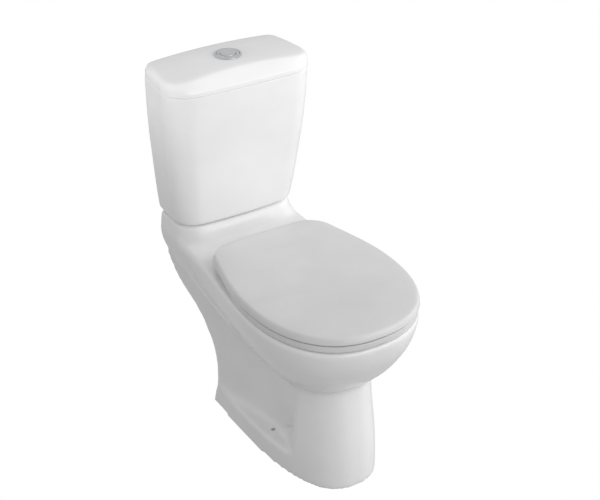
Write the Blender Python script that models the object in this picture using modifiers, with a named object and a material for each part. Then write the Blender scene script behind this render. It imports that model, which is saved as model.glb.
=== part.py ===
# A close-coupled toilet: china pan, cistern and lid, moulded seat and cover,
# flush valve, fill valve and the pieces that fasten them.
# Metres, +Z up. The front looks along -Y, the wall is at +Y, X runs across.
# The origin is on the floor, at the middle of the plan.
import math

import bmesh
import bpy
from mathutils import Matrix, Vector

# Clearances and shared values
gap = 0.0003
overrun = 0.010
china_wall = 0.012
half_turn = math.pi
sharp_degrees = 35

# Overall sizes
depth = 0.670
rim_height = 0.400
shelf_rise = 0.035
wall_y = depth / 2
shelf_height = rim_height + shelf_rise

# Counts of facets
half_ring_count = 18
round_count = 24
small_count = 14
basin_count = 13
trap_count = 12

# Foot and column of the pan: a setback is measured from the front of what carries the piece
foot_half_width = 0.1156
foot_rear_half_width = 0.1089
foot_setback = 0.0752
foot_wall_distance = 0.1689
foot_widest_share = 0.6776
foot_power = 2.6
column_taper = 0.026
web_reach = 0.1312
ledge_height = 0.054
ledge_fillet = 0.010
recess_edge_setback = 0.0948
recess_middle_setback = 0.1898
recess_depth = 0.0425
recess_lead_share = 0.35
rear_edge_lip = 0.001
web_power = 0.85
foot_front = wall_y - foot_setback
foot_rear = wall_y - foot_wall_distance
foot_widest = (foot_front + foot_rear) * foot_widest_share - foot_front
recess_edge = foot_front - recess_edge_setback
recess_middle = foot_front - recess_middle_setback

# Rim and bowl of the pan
rim_half_width = 0.1755
rim_setback = 0.003
rim_widest_share = 0.338
rim_power = 2.4
rim_edge = 0.010
deck_half_width = 0.150
deck_wall_distance = 0.135
back_half_width = 0.147
back_corner = 0.013
pan_wall_distance = 0.010
shoulder_edge = 0.028
shoulder_start_distance = 0.315
shoulder_full_distance = 0.205
rim_front = wall_y - rim_setback
pan_back = wall_y - pan_wall_distance
rim_widest = rim_front - (rim_front + pan_back) * rim_widest_share
deck_side_y = wall_y - deck_wall_distance
shoulder_start_y = wall_y - shoulder_start_distance
shoulder_full_y = wall_y - shoulder_full_distance

# Inside of the bowl
mouth_half_width = 0.120
mouth_setback = 0.073
mouth_wall_distance = 0.283
lip_thickness = 0.010
channel_width = 0.028
channel_roof = 0.013
channel_height = 0.036
lip_overlap = 0.006
sump_height = 0.085
basin_bulge = 0.025
basin_power = 2.3
egg_widest_share = 0.52
mouth_front = wall_y - mouth_setback
mouth_rear = wall_y - mouth_wall_distance
mouth_length = mouth_front + mouth_rear
channel_low = rim_height - channel_roof - channel_height
basin_top = channel_low + lip_overlap

# Trap and outlet
trap_bore = 0.0375
trap_wall = 0.0095
spigot_radius = 0.051
spigot_length = 0.014
outlet_height = 0.180
outlet_wall_distance = 0.060
dip_rise = 0.025
dip_offset = 0.004
dip_bend = 0.055
dip_start_degrees = 135
trap_rise = 0.125
crest_bend = 0.049
outlet_end = wall_y - outlet_wall_distance
dip_height = sump_height + dip_rise
dip_y = mouth_rear + dip_offset
crest_height = dip_height + trap_rise

# Rear hollow of the pan and the flush duct
deck_thickness = 0.014
shelf_thickness = 0.027
rear_wall_width = 0.0145
hollow_setback = 0.009
duct_half_width = 0.032
duct_height = 0.024
duct_overlap = 0.007
channel_rear = mouth_rear + lip_thickness + channel_width
hollow_front = channel_rear + hollow_setback
duct_front = channel_rear - duct_overlap
duct_roof = rim_height - deck_thickness + gap
duct_floor = duct_roof - duct_height
shelf_under = shelf_height - shelf_thickness

# Cistern
cistern_gap = 0.0006
cistern_height = 0.3257
cistern_wall_distance = 0.0015
cistern_fullness = 0.0064
cistern_wall = 0.009
cistern_floor = 0.012
cistern_foot_half_width = 0.1483
cistern_foot_back_half_width = 0.1400
cistern_foot_depth = 0.1319
cistern_foot_bow = 0.0105
cistern_foot_front_corner = 0.0449
cistern_rim_half_width = 0.1735
cistern_rim_back_half_width = 0.1560
cistern_rim_depth = 0.1685
cistern_rim_bow = 0.0081
cistern_rim_front_corner = 0.0510
cistern_back_corner = 0.0130
cistern_edge = 0.014
cistern_base = shelf_height + cistern_gap
cistern_top = cistern_base + cistern_height
cistern_back = wall_y - cistern_wall_distance
cistern_foot_front_y = cistern_back - cistern_foot_depth
cistern_rim_front_y = cistern_back - cistern_rim_depth
tank_floor = cistern_base + cistern_floor

# Cistern shelf and its riser
shelf_half_width = 0.1405
shelf_back_half_width = 0.1435
riser_inset = 0.0009
riser_run = 0.0245
riser_top_y = cistern_foot_front_y + riser_inset
riser_foot_y = riser_top_y - riser_run

# Cistern lid
lid_overhang = 0.004
lid_front_corner = 0.0541
lid_back_corner = 0.0240
lid_height = 0.0405
lid_slope = 0.055
lid_side_slope_share = 0.5
lid_wall = 0.008
lid_roof = 0.0115
lid_lip_drop = 0.009
lid_lip_width = 0.006
lid_lip_clearance = 0.0025
lid_crown = 0.005
lid_half_width = cistern_rim_half_width + lid_overhang
lid_back_half_width = cistern_rim_back_half_width + lid_overhang
lid_front_y = cistern_rim_front_y - lid_overhang
lid_base = cistern_top + gap
lid_top = lid_base + lid_height
lid_ceiling = lid_top - lid_roof

# Flush buttons
bezel_body_radius = 0.0270
bezel_rim_width = 0.0025
bezel_wall = 0.002
bezel_flange = 0.0025
bezel_depth = 0.022
bezel_floor = 0.002
button_clearance = 0.0004
half_button_radius = 0.0166
half_button_rise = 0.0022
button_thickness = 0.005
button_hole_clearance = 0.0005
rod_radius = 0.0025
rod_setback = 0.008
rod_reach = 0.0081
half_rod_offset = 0.007
full_rod_offset = 0.0029
ring_nut_radius = 0.034
ring_nut_height = 0.007
bezel_radius = bezel_body_radius + bezel_rim_width
bezel_bore = bezel_body_radius - bezel_wall
button_y = (lid_front_y + wall_y) / 2
rod_y = button_y - rod_setback
half_rod_x = -half_rod_offset
full_rod_x = half_button_radius + full_rod_offset

# Seat ring and cover
cover_half_width = 0.1778
cover_widest_share = 0.4933
cover_rear_offset = 0.00825
cover_rear_half_width = 0.13655
cover_rear_corner = 0.0467
cover_rear_bow = 0.00555
cover_power = 2.36
cover_edge_height = 0.0144
cover_edge_inset = 0.00485
cover_dome = 0.0055
cover_shell = 0.006
cover_lift = 0.0041
seat_lift = 0.0025
seat_thickness = 0.015
seat_inset = 0.0022
seat_rear_setback = 0.0195
seat_recess = 0.006
seat_hole_half_width = 0.112
seat_hole_rear_setback = 0.0785
seat_rim_width = 0.008
seat_base = rim_height + seat_lift
cover_base = seat_base + seat_thickness + cover_lift

# Hinges of the seat
hinge_spacing = 0.155
hinge_wall_distance = 0.2215
pin_radius = 0.003
knuckle_radius = 0.0065
knuckle_width = 0.015
knuckle_clearance = 0.0006
post_width = 0.016
post_half_depth = 0.005
post_flange_radius = 0.015
post_flange_height = 0.004
stud_radius = 0.004
stud_length = 0.044
stud_clearance = 0.003
cone_radius = 0.013
cone_height = 0.011
cone_tip_radius = 0.0091
hinge_nut_radius = 0.013
hinge_nut_height = 0.010
running_gap = 0.0004
hinge_y = wall_y - hinge_wall_distance
hinge_z = cover_base - knuckle_radius - knuckle_clearance
cover_rear = hinge_y + cover_rear_offset
cover_widest = wall_y - (wall_y + cover_rear) * cover_widest_share
seat_rear = hinge_y - seat_rear_setback
seat_hole_rear = hinge_y - seat_hole_rear_setback

# Bumpers
bumper_radius = 0.007
cover_bumper_radius = 0.006

# Flush valve
flush_wall_distance = 0.067
tail_wall = 0.0042
tail_radius = 0.0287
tail_clearance = 0.0013
tail_length = 0.0435
valve_flange_margin = 0.002
valve_flange_height = 0.008
seat_lip_height = 0.003
seat_lip_width = 0.003
cage_radius = 0.036
cage_wall = 0.0025
cage_height = 0.183
cage_window_half_width = 0.010
cage_window_sill = 0.014
cage_window_height = 0.128
cage_window_count = 3
head_height = 0.028
head_half_width = 0.030
head_front = 0.040
head_back = 0.032
socket_depth = 0.016
socket_clearance = 0.0012
overflow_radius = 0.012
overflow_wall = 0.0025
overflow_height = 0.244
overflow_disc_height = 0.004
overflow_disc_inset = 0.004
seal_clearance = 0.0015
seal_height = 0.004
backnut_radius = 0.038
backnut_height = 0.009
flush_y = wall_y - flush_wall_distance
tail_bore = tail_radius - tail_wall
valve_flange_radius = cage_radius + valve_flange_margin
seal_radius = cage_radius - cage_wall - seal_clearance
overflow_disc_radius = seal_radius - overflow_disc_inset
flange_low = tank_floor + gap
flange_top = flange_low + valve_flange_height
cage_low = flange_top + gap
cage_top = cage_low + cage_height
head_low = cage_top + gap
head_top = head_low + head_height
rod_low = head_top - rod_reach

# Coupling between cistern and pan
inlet_radius = 0.031
gasket_wall = 0.009
gasket_seat_depth = 0.0165
bolt_spacing = 0.130
bolt_radius = 0.004
bolt_clearance = 0.0015
bolt_head_radius = 0.0085
bolt_head_height = 0.005
bolt_crown_share = 0.7
bolt_washer_radius = 0.012
bolt_washer_height = 0.004
bolt_length = 0.072
wing_hub_radius = 0.007
wing_height = 0.010
wing_span = 0.030
wing_thickness = 0.003
wing_inset = 0.001
plate_washer_radius = 0.011
plate_washer_height = 0.002
gasket_seat_radius = backnut_radius + gasket_wall
gasket_floor = shelf_height - gasket_seat_depth

# Fill valve
fill_bolt_gap = 0.010
fill_wall_distance = 0.063
fill_passage_clearance = 0.006
shank_radius = 0.0103
shank_clearance = 0.0012
shank_bore = 0.006
shank_length = 0.080
fill_flange_radius = 0.0175
fill_flange_height = 0.003
fill_washer_radius = 0.0170
fill_washer_height = 0.003
fill_nut_radius = 0.0165
fill_nut_height = 0.009
riser_radius = 0.0130
riser_height = 0.205
fill_head_radius = 0.0180
fill_head_height = 0.030
float_radius = 0.0270
float_clearance = 0.0012
float_height = 0.060
float_travel = 0.018
arm_length = 0.034
arm_width = 0.008
arm_offset_share = 0.75
arm_thickness = 0.004
arm_hub_radius = 0.0062
arm_pin_radius = 0.0031
arm_clearance = 0.0008
link_radius = 0.0015
fill_x = bolt_spacing / 2 + bolt_washer_radius + fill_washer_radius + fill_bolt_gap
fill_y = wall_y - fill_wall_distance

# Floor screws' holes
floor_hole_radius = 0.005
floor_hole_x = 0.087
floor_hole_setback = 0.1948
floor_hole_y = foot_front - floor_hole_setback


# Scene and materials


def clear_scene():
    for item in list(bpy.data.objects):
        bpy.data.objects.remove(item, do_unlink=True)


def new_collection(name, hidden=False):
    made = bpy.data.collections.new(name)
    bpy.context.scene.collection.children.link(made)
    made.hide_render = hidden
    return made


def new_material(name, colour, roughness, metallic=0.0):
    made = bpy.data.materials.new(name)
    made.use_nodes = True
    shader = made.node_tree.nodes["Principled BSDF"]
    shader.inputs["Base Color"].default_value = (*colour, 1.0)
    shader.inputs["Roughness"].default_value = roughness
    shader.inputs["Metallic"].default_value = metallic
    made.diffuse_color = (*colour, 1.0)
    return made


clear_scene()
parts = new_collection("toilet")
cutters = new_collection("cutters", hidden=True)
china = new_material("glazed_china", (0.88, 0.88, 0.87), 0.10)
moulded = new_material("moulded_seat", (0.74, 0.74, 0.74), 0.25)
chrome = new_material("chrome", (0.62, 0.62, 0.64), 0.08, 1.0)
white_plastic = new_material("white_plastic", (0.80, 0.80, 0.79), 0.40)
grey_plastic = new_material("grey_plastic", (0.45, 0.46, 0.48), 0.45)
blue_plastic = new_material("blue_plastic", (0.16, 0.27, 0.45), 0.45)
rubber = new_material("rubber", (0.05, 0.05, 0.05), 0.70)
steel = new_material("steel", (0.55, 0.55, 0.56), 0.30, 1.0)
brass = new_material("brass", (0.60, 0.46, 0.22), 0.30, 1.0)


# Making and cutting solids


def place(mesh, name, material, collection=None):
    made = bpy.data.objects.new(name, mesh)
    (collection or parts).objects.link(made)
    if material:
        mesh.materials.append(material)
    mesh.shade_smooth()
    mesh.set_sharp_from_angle(angle=math.radians(sharp_degrees))
    if collection is cutters:
        made.hide_render = True
        made.display_type = "WIRE"
    return made


def to_object(bm, name, material, collection=None):
    bmesh.ops.recalc_face_normals(bm, faces=bm.faces)
    mesh = bpy.data.meshes.new(name)
    bm.to_mesh(mesh)
    bm.free()
    return place(mesh, name, material, collection)


def loft(name, rings, material=None, collection=None, closed=False):
    # Skins a row of rings that have the same number of points. An open row gets end faces.
    bm = bmesh.new()
    rows = [[bm.verts.new(point) for point in ring] for ring in rings]
    pairs = list(zip(rows, rows[1:]))
    if closed:
        pairs.append((rows[-1], rows[0]))
    count = len(rows[0])
    for row, following in pairs:
        for index in range(count):
            after = (index + 1) % count
            bm.faces.new((row[index], row[after], following[after], following[index]))
    if not closed:
        bm.faces.new(rows[0])
        bm.faces.new(rows[-1])
    return to_object(bm, name, material, collection)


def turned(name, profile, material=None, collection=None, at=(0, 0, 0), count=None, along=None):
    # Turns a closed profile of (radius, height) points about its own axis, which can be tilted.
    count = count or round_count
    bm = bmesh.new()
    on_axis = {}
    rows = []
    for step in range(count):
        angle = 2 * half_turn * step / count
        row = []
        for index, (radius, height) in enumerate(profile):
            if radius == 0:
                if index not in on_axis:
                    on_axis[index] = bm.verts.new((0, 0, height))
                row.append(on_axis[index])
            else:
                row.append(bm.verts.new((radius * math.cos(angle), radius * math.sin(angle), height)))
        rows.append(row)
    for step in range(count):
        row = rows[step]
        following = rows[(step + 1) % count]
        for index in range(len(profile)):
            after = (index + 1) % len(profile)
            corners = [row[index], row[after], following[after], following[index]]
            distinct = list(dict.fromkeys(corners))
            if len(distinct) > 2:
                bm.faces.new(distinct)
    made = to_object(bm, name, material, collection)
    if along:
        made.rotation_euler = Vector((0, 0, 1)).rotation_difference(Vector(along)).to_euler()
    made.location = at
    return made


def rod(name, radius, low, high, material=None, collection=None, at=(0, 0), count=None):
    profile = ((0, high), (radius, high), (radius, low), (0, low))
    return turned(name, profile, material, collection, (at[0], at[1], 0), count or small_count)


def tube(name, outer, inner, low, high, material=None, collection=None, at=(0, 0), count=None):
    profile = ((outer, high), (outer, low), (inner, low), (inner, high))
    return turned(name, profile, material, collection, (at[0], at[1], 0), count)


def box(name, low, high, material=None, collection=None, rounding=0.0, steps=2):
    bm = bmesh.new()
    size = [b - a for a, b in zip(low, high)]
    centre = [(a + b) / 2 for a, b in zip(low, high)]
    bmesh.ops.create_cube(bm, size=1, matrix=Matrix.Translation(centre) @ Matrix.Diagonal((*size, 1)))
    made = to_object(bm, name, material, collection)
    if rounding:
        edge = made.modifiers.new("rounded edges", "BEVEL")
        edge.width = rounding
        edge.segments = steps
        edge.limit_method = "ANGLE"
    return made


def combine(body, other, operation, solver):
    # EXACT is kept wherever it holds; pan, seat ring and cover only stay closed with MANIFOLD.
    step = body.modifiers.new(operation.lower(), "BOOLEAN")
    step.operation = operation
    step.object = other
    step.solver = solver
    return body


def cut(body, *others, solver="EXACT"):
    for other in others:
        combine(body, other, "DIFFERENCE", solver)
    return body


def join(body, *others, solver="EXACT"):
    for other in others:
        combine(body, other, "UNION", solver)
    return body


def hang_on(parent, *children):
    # Parents pieces to an empty on the joint's axis and keeps them where they are.
    for child in children:
        child.parent = parent
        child.matrix_parent_inverse = parent.matrix_basis.inverted()


def joint_empty(name, at):
    made = bpy.data.objects.new(name, None)
    parts.objects.link(made)
    made.location = at
    return made


# Outlines


def mid(first, second):
    return (first + second) / 2


def smooth(share):
    share = min(max(share, 0.0), 1.0)
    return share * share * (3 - 2 * share)


def blend(first, second, share):
    return first + (second - first) * share


def read_table(table, key):
    # Reads a row of values between the rows of a table, whose first column rises.
    rows = list(zip(table, table[1:]))
    for low, high in rows:
        if key <= high[0]:
            break
    share = min(max((key - low[0]) / (high[0] - low[0]), 0.0), 1.0)
    return [blend(a, b, share) for a, b in zip(low[1:], high[1:])]


def spread(points, count, bend):
    # Spaces count + 1 points along a curve, closer together where it bends.
    marks = [0.0]
    for index in range(1, len(points)):
        step = points[index] - points[index - 1]
        turn = 0.0
        if index > 1 and step.length > 0:
            before = points[index - 1] - points[index - 2]
            if before.length > 0:
                turn = before.angle(step)
        marks.append(marks[-1] + step.length + bend * turn)
    made = []
    index = 0
    for step in range(count + 1):
        mark = marks[-1] * step / count
        while index < len(marks) - 2 and marks[index + 1] < mark:
            index += 1
        span = marks[index + 1] - marks[index]
        share = (mark - marks[index]) / span if span else 0.0
        made.append(points[index].lerp(points[index + 1], min(max(share, 0.0), 1.0)))
    return made


def nose(half_width, front, widest, power, count=60):
    # The front quarter of an egg, from its tip at x = 0 to its widest point.
    points = []
    for step in range(count + 1):
        turn = half_turn / 2 * step / count
        across = half_width * math.sin(turn) ** (2 / power)
        along = widest - (widest - front) * max(math.cos(turn), 0.0) ** (2 / power)
        points.append(Vector((across, along)))
    return points


def bezier(first, second, third, fourth, count=30):
    points = []
    for step in range(count + 1):
        t = step / count
        s = 1 - t
        points.append(
            first * s**3 + second * (3 * s * s * t) + third * (3 * s * t * t) + fourth * t**3
        )
    return points


def corner_curve(before, corner, after, count=12, fullness_share=0.75):
    points = []
    for step in range(count + 1):
        t = step / count
        s = 1 - t
        weight = s * s + 2 * fullness_share * s * t + t * t
        points.append((before * s * s + corner * (2 * fullness_share * s * t) + after * t * t) / weight)
    return points


def trimmed(points, corner, radius):
    return [point for point in points if (point - corner).length > radius]


def ring_of(half, height):
    # Closes a half outline, from x = 0 round to x = 0 or to a flat end, into a full ring.
    right = [Vector((point.x, point.y, height)) for point in half]
    left = [Vector((-point.x, point.y, height)) for point in reversed(half) if point.x > gap]
    return right + left


# Pan

# height as a share of the rim's; foot width, taper towards the front, way of the web's rear edge
# towards the wall, foot rear width
column_shares = (
    (0.000, 1.000, 0.10, 0.000, 1.000),
    (0.075, 1.004, 0.06, -0.070, 1.000),
    (0.135, 1.006, 0.02, -0.120, 0.995),
    (0.250, 0.998, -0.14, -0.120, 0.985),
    (0.350, 0.982, -0.35, -0.063, 0.995),
    (0.420, 0.970, -0.52, 0.051, 1.005),
    (0.500, 0.960, -0.68, 0.215, 1.030),
    (0.580, 0.952, -0.84, 0.443, 1.075),
    (0.660, 0.950, -0.95, 0.709, 1.160),
    (0.740, 0.955, -1.00, 0.861, 1.240),
    (0.860, 0.960, -1.00, 1.000, 1.330),
)
column_side_shares = (0.365, 0.33, 0.67)
# height and depth of the side recess, as shares of the rim's height and of its greatest depth
recess_shares = (
    (0.135, 1.00),
    (0.250, 0.92),
    (0.375, 0.82),
    (0.500, 0.70),
    (0.600, 0.56),
    (0.700, 0.36),
    (0.800, 0.10),
    (0.900, 0.00),
)
# height and inset of the fillet between ledge and web, as shares of its radius
ledge_fillet_shares = ((0.00, 1.00), (0.15, 0.50), (0.50, 0.15), (1.00, 0.00))
# height, half width, front reach, rear reach: shares of the rim's sizes
bowl_shares = (
    (0.490, 0.300, 0.500, 0.100),
    (0.545, 0.460, 0.632, 0.190),
    (0.600, 0.585, 0.717, 0.260),
    (0.650, 0.688, 0.785, 0.340),
    (0.700, 0.772, 0.843, 0.440),
    (0.750, 0.836, 0.889, 0.570),
    (0.800, 0.888, 0.926, 0.720),
    (0.850, 0.934, 0.959, 0.880),
    (0.900, 0.968, 0.982, 0.965),
    (0.940, 0.988, 0.994, 0.995),
    (0.970, 1.000, 1.000, 1.000),
)
rim_side_shares = (0.40, 0.62)
rim_side_end_share = 0.7
deck_width_share = 0.35
back_width_share = 0.30
# height, way up the riser, inset, widening: shares of the shelf's rise, the riser's run, the rim's
# edge and the step out to the deck
shelf_shares = (
    (-1.80, 0.45, 2.20, 1.00),
    (-0.90, 0.35, 0.60, 1.00),
    (-0.30, 0.20, 0.06, 1.00),
    (0.00, 0.00, 0.00, 0.95),
    (0.07, 0.28, 0.00, 0.84),
    (0.22, 0.50, 0.00, 0.62),
    (0.55, 0.66, 0.00, 0.26),
    (0.85, 0.80, 0.02, 0.06),
    (0.96, 0.90, 0.10, 0.00),
    (1.00, 1.10, 0.30, 0.00),
)
# depth in the bowl, half width, length and rear bulge: shares of the basin's depth and of the
# mouth's sizes
basin_shares = (
    (0.000, 1.155, 1.0584, 0.750),
    (0.110, 1.100, 1.0125, 0.870),
    (0.250, 0.960, 0.8999, 1.000),
    (0.390, 0.760, 0.7330, 0.920),
    (0.500, 0.590, 0.5828, 0.600),
    (0.640, 0.440, 0.4242, 0.210),
    (0.800, 0.335, 0.2908, -0.125),
    (0.930, 0.270, 0.2157, -0.580),
    (1.000, 0.180, 0.1739, -0.870),
)
# heights of the hollow's rings, as shares of the ledge's wall and of the rim's height
hollow_foot_shares = (1.4, 0.7)
hollow_column_shares = (0.30, 0.46, 0.545, 0.62, 0.70, 0.76)
rear_hollow_shares = (0.70, 0.76, 0.82, 0.90, 1.00)


def column_sizes(height):
    width_share, taper_share, web_share, rear_share = read_table(column_shares, height / rim_height)
    return (
        foot_half_width * width_share,
        -foot_front - column_taper * taper_share,
        foot_rear + web_reach * web_share,
        foot_rear_half_width * rear_share,
    )


def column_half(height):
    half_width, front, rear, rear_width = column_sizes(height)
    near_share, across_share, far_share = column_side_shares
    side = bezier(
        Vector((half_width, foot_widest)),
        Vector((half_width, blend(foot_widest, rear, near_share))),
        Vector((blend(rear_width, half_width, across_share), blend(foot_widest, rear, far_share))),
        Vector((rear_width, rear)),
    )
    return nose(half_width, front, foot_widest, foot_power) + side[1:]


def column_width_at(y, height):
    half_width, front, rear, rear_width = column_sizes(height)
    if y <= foot_widest:
        share = (foot_widest - y) / (foot_widest - front)
        return half_width * (1 - min(share, 1.0) ** foot_power) ** (1 / foot_power)
    return blend(half_width, rear_width, smooth((y - foot_widest) / (rear - foot_widest)))


def web_width_at(y, height):
    # Half width of the side web, which dips between the column's edge and the rear edge.
    (depth_share,) = read_table(recess_shares, height / rim_height)
    half_width, _, rear, rear_width = column_sizes(height)
    middle = half_width - recess_depth * depth_share
    if y < -recess_middle:
        share = (y + recess_middle) / (recess_middle - recess_edge)
        edge = column_width_at(-recess_edge, height)
        return middle + (edge - middle) * share * share
    share = (y + recess_middle) / (rear + recess_middle)
    return blend(middle, rear_width - rear_edge_lip, smooth(share**web_power))


def recess_cutter(side):
    # Everything outside the web, between the ledge and the underside of the bowl.
    reach = foot_half_width * 2
    levels = []
    for height_share, inset_share in ledge_fillet_shares:
        levels.append((ledge_height + ledge_fillet * height_share, ledge_fillet * inset_share))
    top = rim_height * column_shares[-1][0]
    steps = 7
    for step in range(1, steps + 1):
        levels.append((blend(ledge_height + ledge_fillet, top, step / steps), 0))
    stations = 11
    front = -recess_edge - (recess_edge - recess_middle) * recess_lead_share
    rear = wall_y + overrun
    rings = []
    for height, fillet in levels:
        ring = []
        for station in range(stations + 1):
            y = blend(front, rear, station / stations)
            ring.append(Vector((side * (web_width_at(y, height) + fillet), y, height)))
        ring.append(Vector((side * reach, rear, height)))
        ring.append(Vector((side * reach, front, height)))
        rings.append(ring)
    return loft(f"recess_cutter_{side}", rings, None, cutters)


def rim_half(height_share, inset=0.0):
    width_share, front_share, rear_share = read_table(bowl_shares, height_share)
    half_width = rim_half_width * width_share - inset
    tip = -rim_front * front_share + inset
    back = pan_back * rear_share - inset
    side_y = min(deck_side_y, blend(-rim_widest, back, rim_side_end_share))
    side_width = deck_half_width * blend(width_share, 1, deck_width_share) - inset
    side_width = min(side_width, half_width)
    back_width = min(back_half_width * blend(width_share, 1, back_width_share) - inset, side_width)
    corner = Vector((back_width, back))
    radius = min(back_corner, back_width / 2)
    near_share, far_share = rim_side_shares
    side = bezier(
        Vector((half_width, -rim_widest)),
        Vector((half_width, blend(-rim_widest, side_y, near_share))),
        Vector((side_width, blend(-rim_widest, side_y, far_share))),
        Vector((side_width, side_y)),
    )
    steps = 12
    straight = [Vector((side_width, side_y)).lerp(corner, step / steps) for step in range(1, steps + 1)]
    path = trimmed(side[1:] + straight, corner, radius)
    around = corner_curve(path[-1], corner, Vector((back_width - radius, back)))
    end = [Vector((0, back))]
    return nose(half_width, tip, -rim_widest, rim_power) + path + around + end


def edge_inset(y, height):
    # How far the rim's upper edge has rounded in: tight at the front, wide on the shoulders.
    share = (y - shoulder_start_y) / (shoulder_full_y - shoulder_start_y)
    radius = blend(rim_edge, shoulder_edge, smooth(share))
    above = max(height - (rim_height - radius), 0.0) / radius
    return radius * (1 - math.sqrt(max(1 - above * above, 0.0)))


def bowl_body():
    levels = [row[0] for row in bowl_shares]
    steps = 3
    for step in range(1, steps + 1):
        turn = half_turn / 2 * step / steps
        levels.append(1 - rim_edge / rim_height * (1 - math.sin(turn)))
    rings = []
    for level in levels:
        height = rim_height * level
        outer = spread(rim_half(level), half_ring_count, rim_edge)
        inner = spread(rim_half(level, shoulder_edge), half_ring_count, rim_edge)
        half = []
        for first, second in zip(outer, inner):
            half.append(first.lerp(second, edge_inset(first.y, height) / shoulder_edge))
        rings.append(ring_of(half, height))
    return loft("bowl_body", rings, None, cutters)


def cistern_half(half_width, back_width, front, bow, front_corner, back_corner_radius, back):
    # Half the plan of tank, lid or shelf: a bowed front, straight sides and a flat back.
    corner = Vector((half_width, front + bow))
    rear = Vector((back_width, back))
    steps = 40
    bowed = []
    for step in range(steps + 1):
        share = step / steps
        bowed.append(Vector((half_width * share, front + bow * share * share)))
    across = Vector((half_width, bow * 2)).normalized()
    along = (rear - corner).normalized()
    side_start = corner + along * front_corner
    side_end = rear - along * back_corner_radius
    first = corner_curve(corner - across * front_corner, corner, side_start)
    second = corner_curve(side_end, rear, Vector((back_width - back_corner_radius, back)))
    bowed = trimmed(bowed, corner, front_corner)
    return bowed + first + [mid(side_start, side_end)] + second + [Vector((0, back))]


def shelf_half(front_y, inset, flare):
    # The shelf's plan widens by the flare on its way down to the deck.
    return cistern_half(
        blend(shelf_half_width, deck_half_width, flare) - inset,
        blend(shelf_back_half_width, back_half_width, flare) - inset,
        front_y,
        cistern_foot_bow,
        cistern_foot_front_corner,
        back_corner,
        pan_back - inset,
    )


def shelf_body():
    # The raised seat of the cistern, with a soft foot where it grows out of the deck.
    rings = []
    for height_share, riser_share, inset_share, flare_share in shelf_shares:
        front_y = riser_foot_y + riser_run * riser_share
        half = shelf_half(front_y, rim_edge * inset_share, flare_share)
        half = spread(half, half_ring_count, rim_edge)
        rings.append(ring_of(half, rim_height + shelf_rise * height_share))
    return loft("shelf_body", rings, None, cutters)


def egg_half(half_width, front, rear, power, inset=0.0):
    widest = blend(-front, rear, egg_widest_share)
    forward = nose(half_width + inset, -front - inset, widest, power)
    backward = nose(half_width + inset, rear + inset, widest, power)
    return forward + list(reversed(backward))[1:]


def egg_ring(half_width, front, rear, height, inset=0.0, count=None):
    half = egg_half(half_width, front, rear, basin_power, inset)
    return ring_of(spread(half, count or basin_count, rim_edge), height)


def mouth_ring(height, inset=0.0):
    return egg_ring(mouth_half_width, mouth_front, mouth_rear, height, inset)


def basin(name, grow, count):
    # The bowl's inside, or with grow the outside of its china.
    rings = []
    for drop_share, width_share, length_share, bulge_share in basin_shares:
        low = grow if drop_share == 1 else 0
        rings.append(
            egg_ring(
                mouth_half_width * width_share,
                mouth_length * length_share - mouth_rear,
                mouth_rear + basin_bulge * bulge_share,
                blend(basin_top, sump_height, drop_share) - low,
                grow,
                count,
            )
        )
    return loft(name, rings, None, cutters)


def mouth_cutter():
    # The way into the bowl, with a small round on the lip's upper edge.
    lip_top = rim_height - lip_thickness
    levels = (
        (basin_top - overrun, 0),
        (lip_top, 0),
        (rim_height - lip_thickness / 3, lip_thickness / 8),
        (rim_height, lip_thickness / 2),
        (rim_height + overrun, lip_thickness / 2),
    )
    return loft("mouth", [mouth_ring(height, inset) for height, inset in levels], None, cutters)


def channel_cutter():
    # The hollow rim that carries the flush water round the bowl, open to the bowl below.
    top = rim_height - channel_roof
    inner = lip_thickness
    outer = lip_thickness + channel_width
    round_height = lip_thickness / 2
    levels = (
        (channel_low, inner),
        (top - round_height, inner),
        (top, inner + channel_width / 4),
        (top, outer - channel_width / 4),
        (top - round_height, outer),
        (channel_low + round_height, outer),
    )
    rings = [mouth_ring(height, inset) for height, inset in levels]
    return loft("rim_channel", rings, None, cutters, closed=True)


def duct_body():
    # The china round the water's way from the inlet to the rim channel.
    wall = china_wall
    return box(
        "duct_body",
        (-duct_half_width - wall, hollow_front - overrun, duct_floor - wall),
        (duct_half_width + wall, flush_y + inlet_radius + wall, duct_roof + wall),
        None,
        cutters,
        wall,
    )


def duct_cutter():
    low = (-duct_half_width, duct_front, duct_floor)
    high = (duct_half_width, flush_y + inlet_radius, duct_roof)
    return box("duct", low, high, None, cutters)


def flush_hole():
    # The gasket's seat with the flush inlet under it.
    low = duct_floor + duct_height / 2
    over = shelf_height + overrun
    profile = (
        (0, over),
        (gasket_seat_radius, over),
        (gasket_seat_radius, gasket_floor),
        (inlet_radius, gasket_floor),
        (inlet_radius, low),
        (0, low),
    )
    return turned("flush_hole", profile, None, cutters, (0, flush_y, 0), round_count)


def arc(centre, radius, first, last, steps):
    # Points on a circle in the plane x = 0, between two angles in degrees.
    points = []
    for step in range(steps + 1):
        angle = math.radians(blend(first, last, step / steps))
        points.append(centre + Vector((0, math.cos(angle), math.sin(angle))) * radius)
    return points


def trap_route():
    # The water's way out: down under the dip, up over the crest, then down to the spigot.
    dip = Vector((0, dip_y, dip_height + dip_bend))
    crest = Vector((0, dip_y + dip_bend + crest_bend, crest_height - crest_bend))
    fall = crest_height - outlet_height
    run = outlet_end - spigot_length - crest.y
    bend = (run * run + fall * fall) / (fall * 4)
    turn = math.degrees(math.asin(run / (bend * 2)))
    over = Vector((0, crest.y, crest_height - bend))
    under = Vector((0, crest.y + run, outlet_height + bend))
    route = arc(dip, dip_bend, -dip_start_degrees, 0, 4)
    route += arc(crest, crest_bend, 180, 90, 3)
    route += arc(over, bend, 90, 90 - turn, 2)[1:]
    route += arc(under, bend, 270 - turn, 270, 2)[1:]
    return [*route, Vector((0, outlet_end, outlet_height))]


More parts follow.
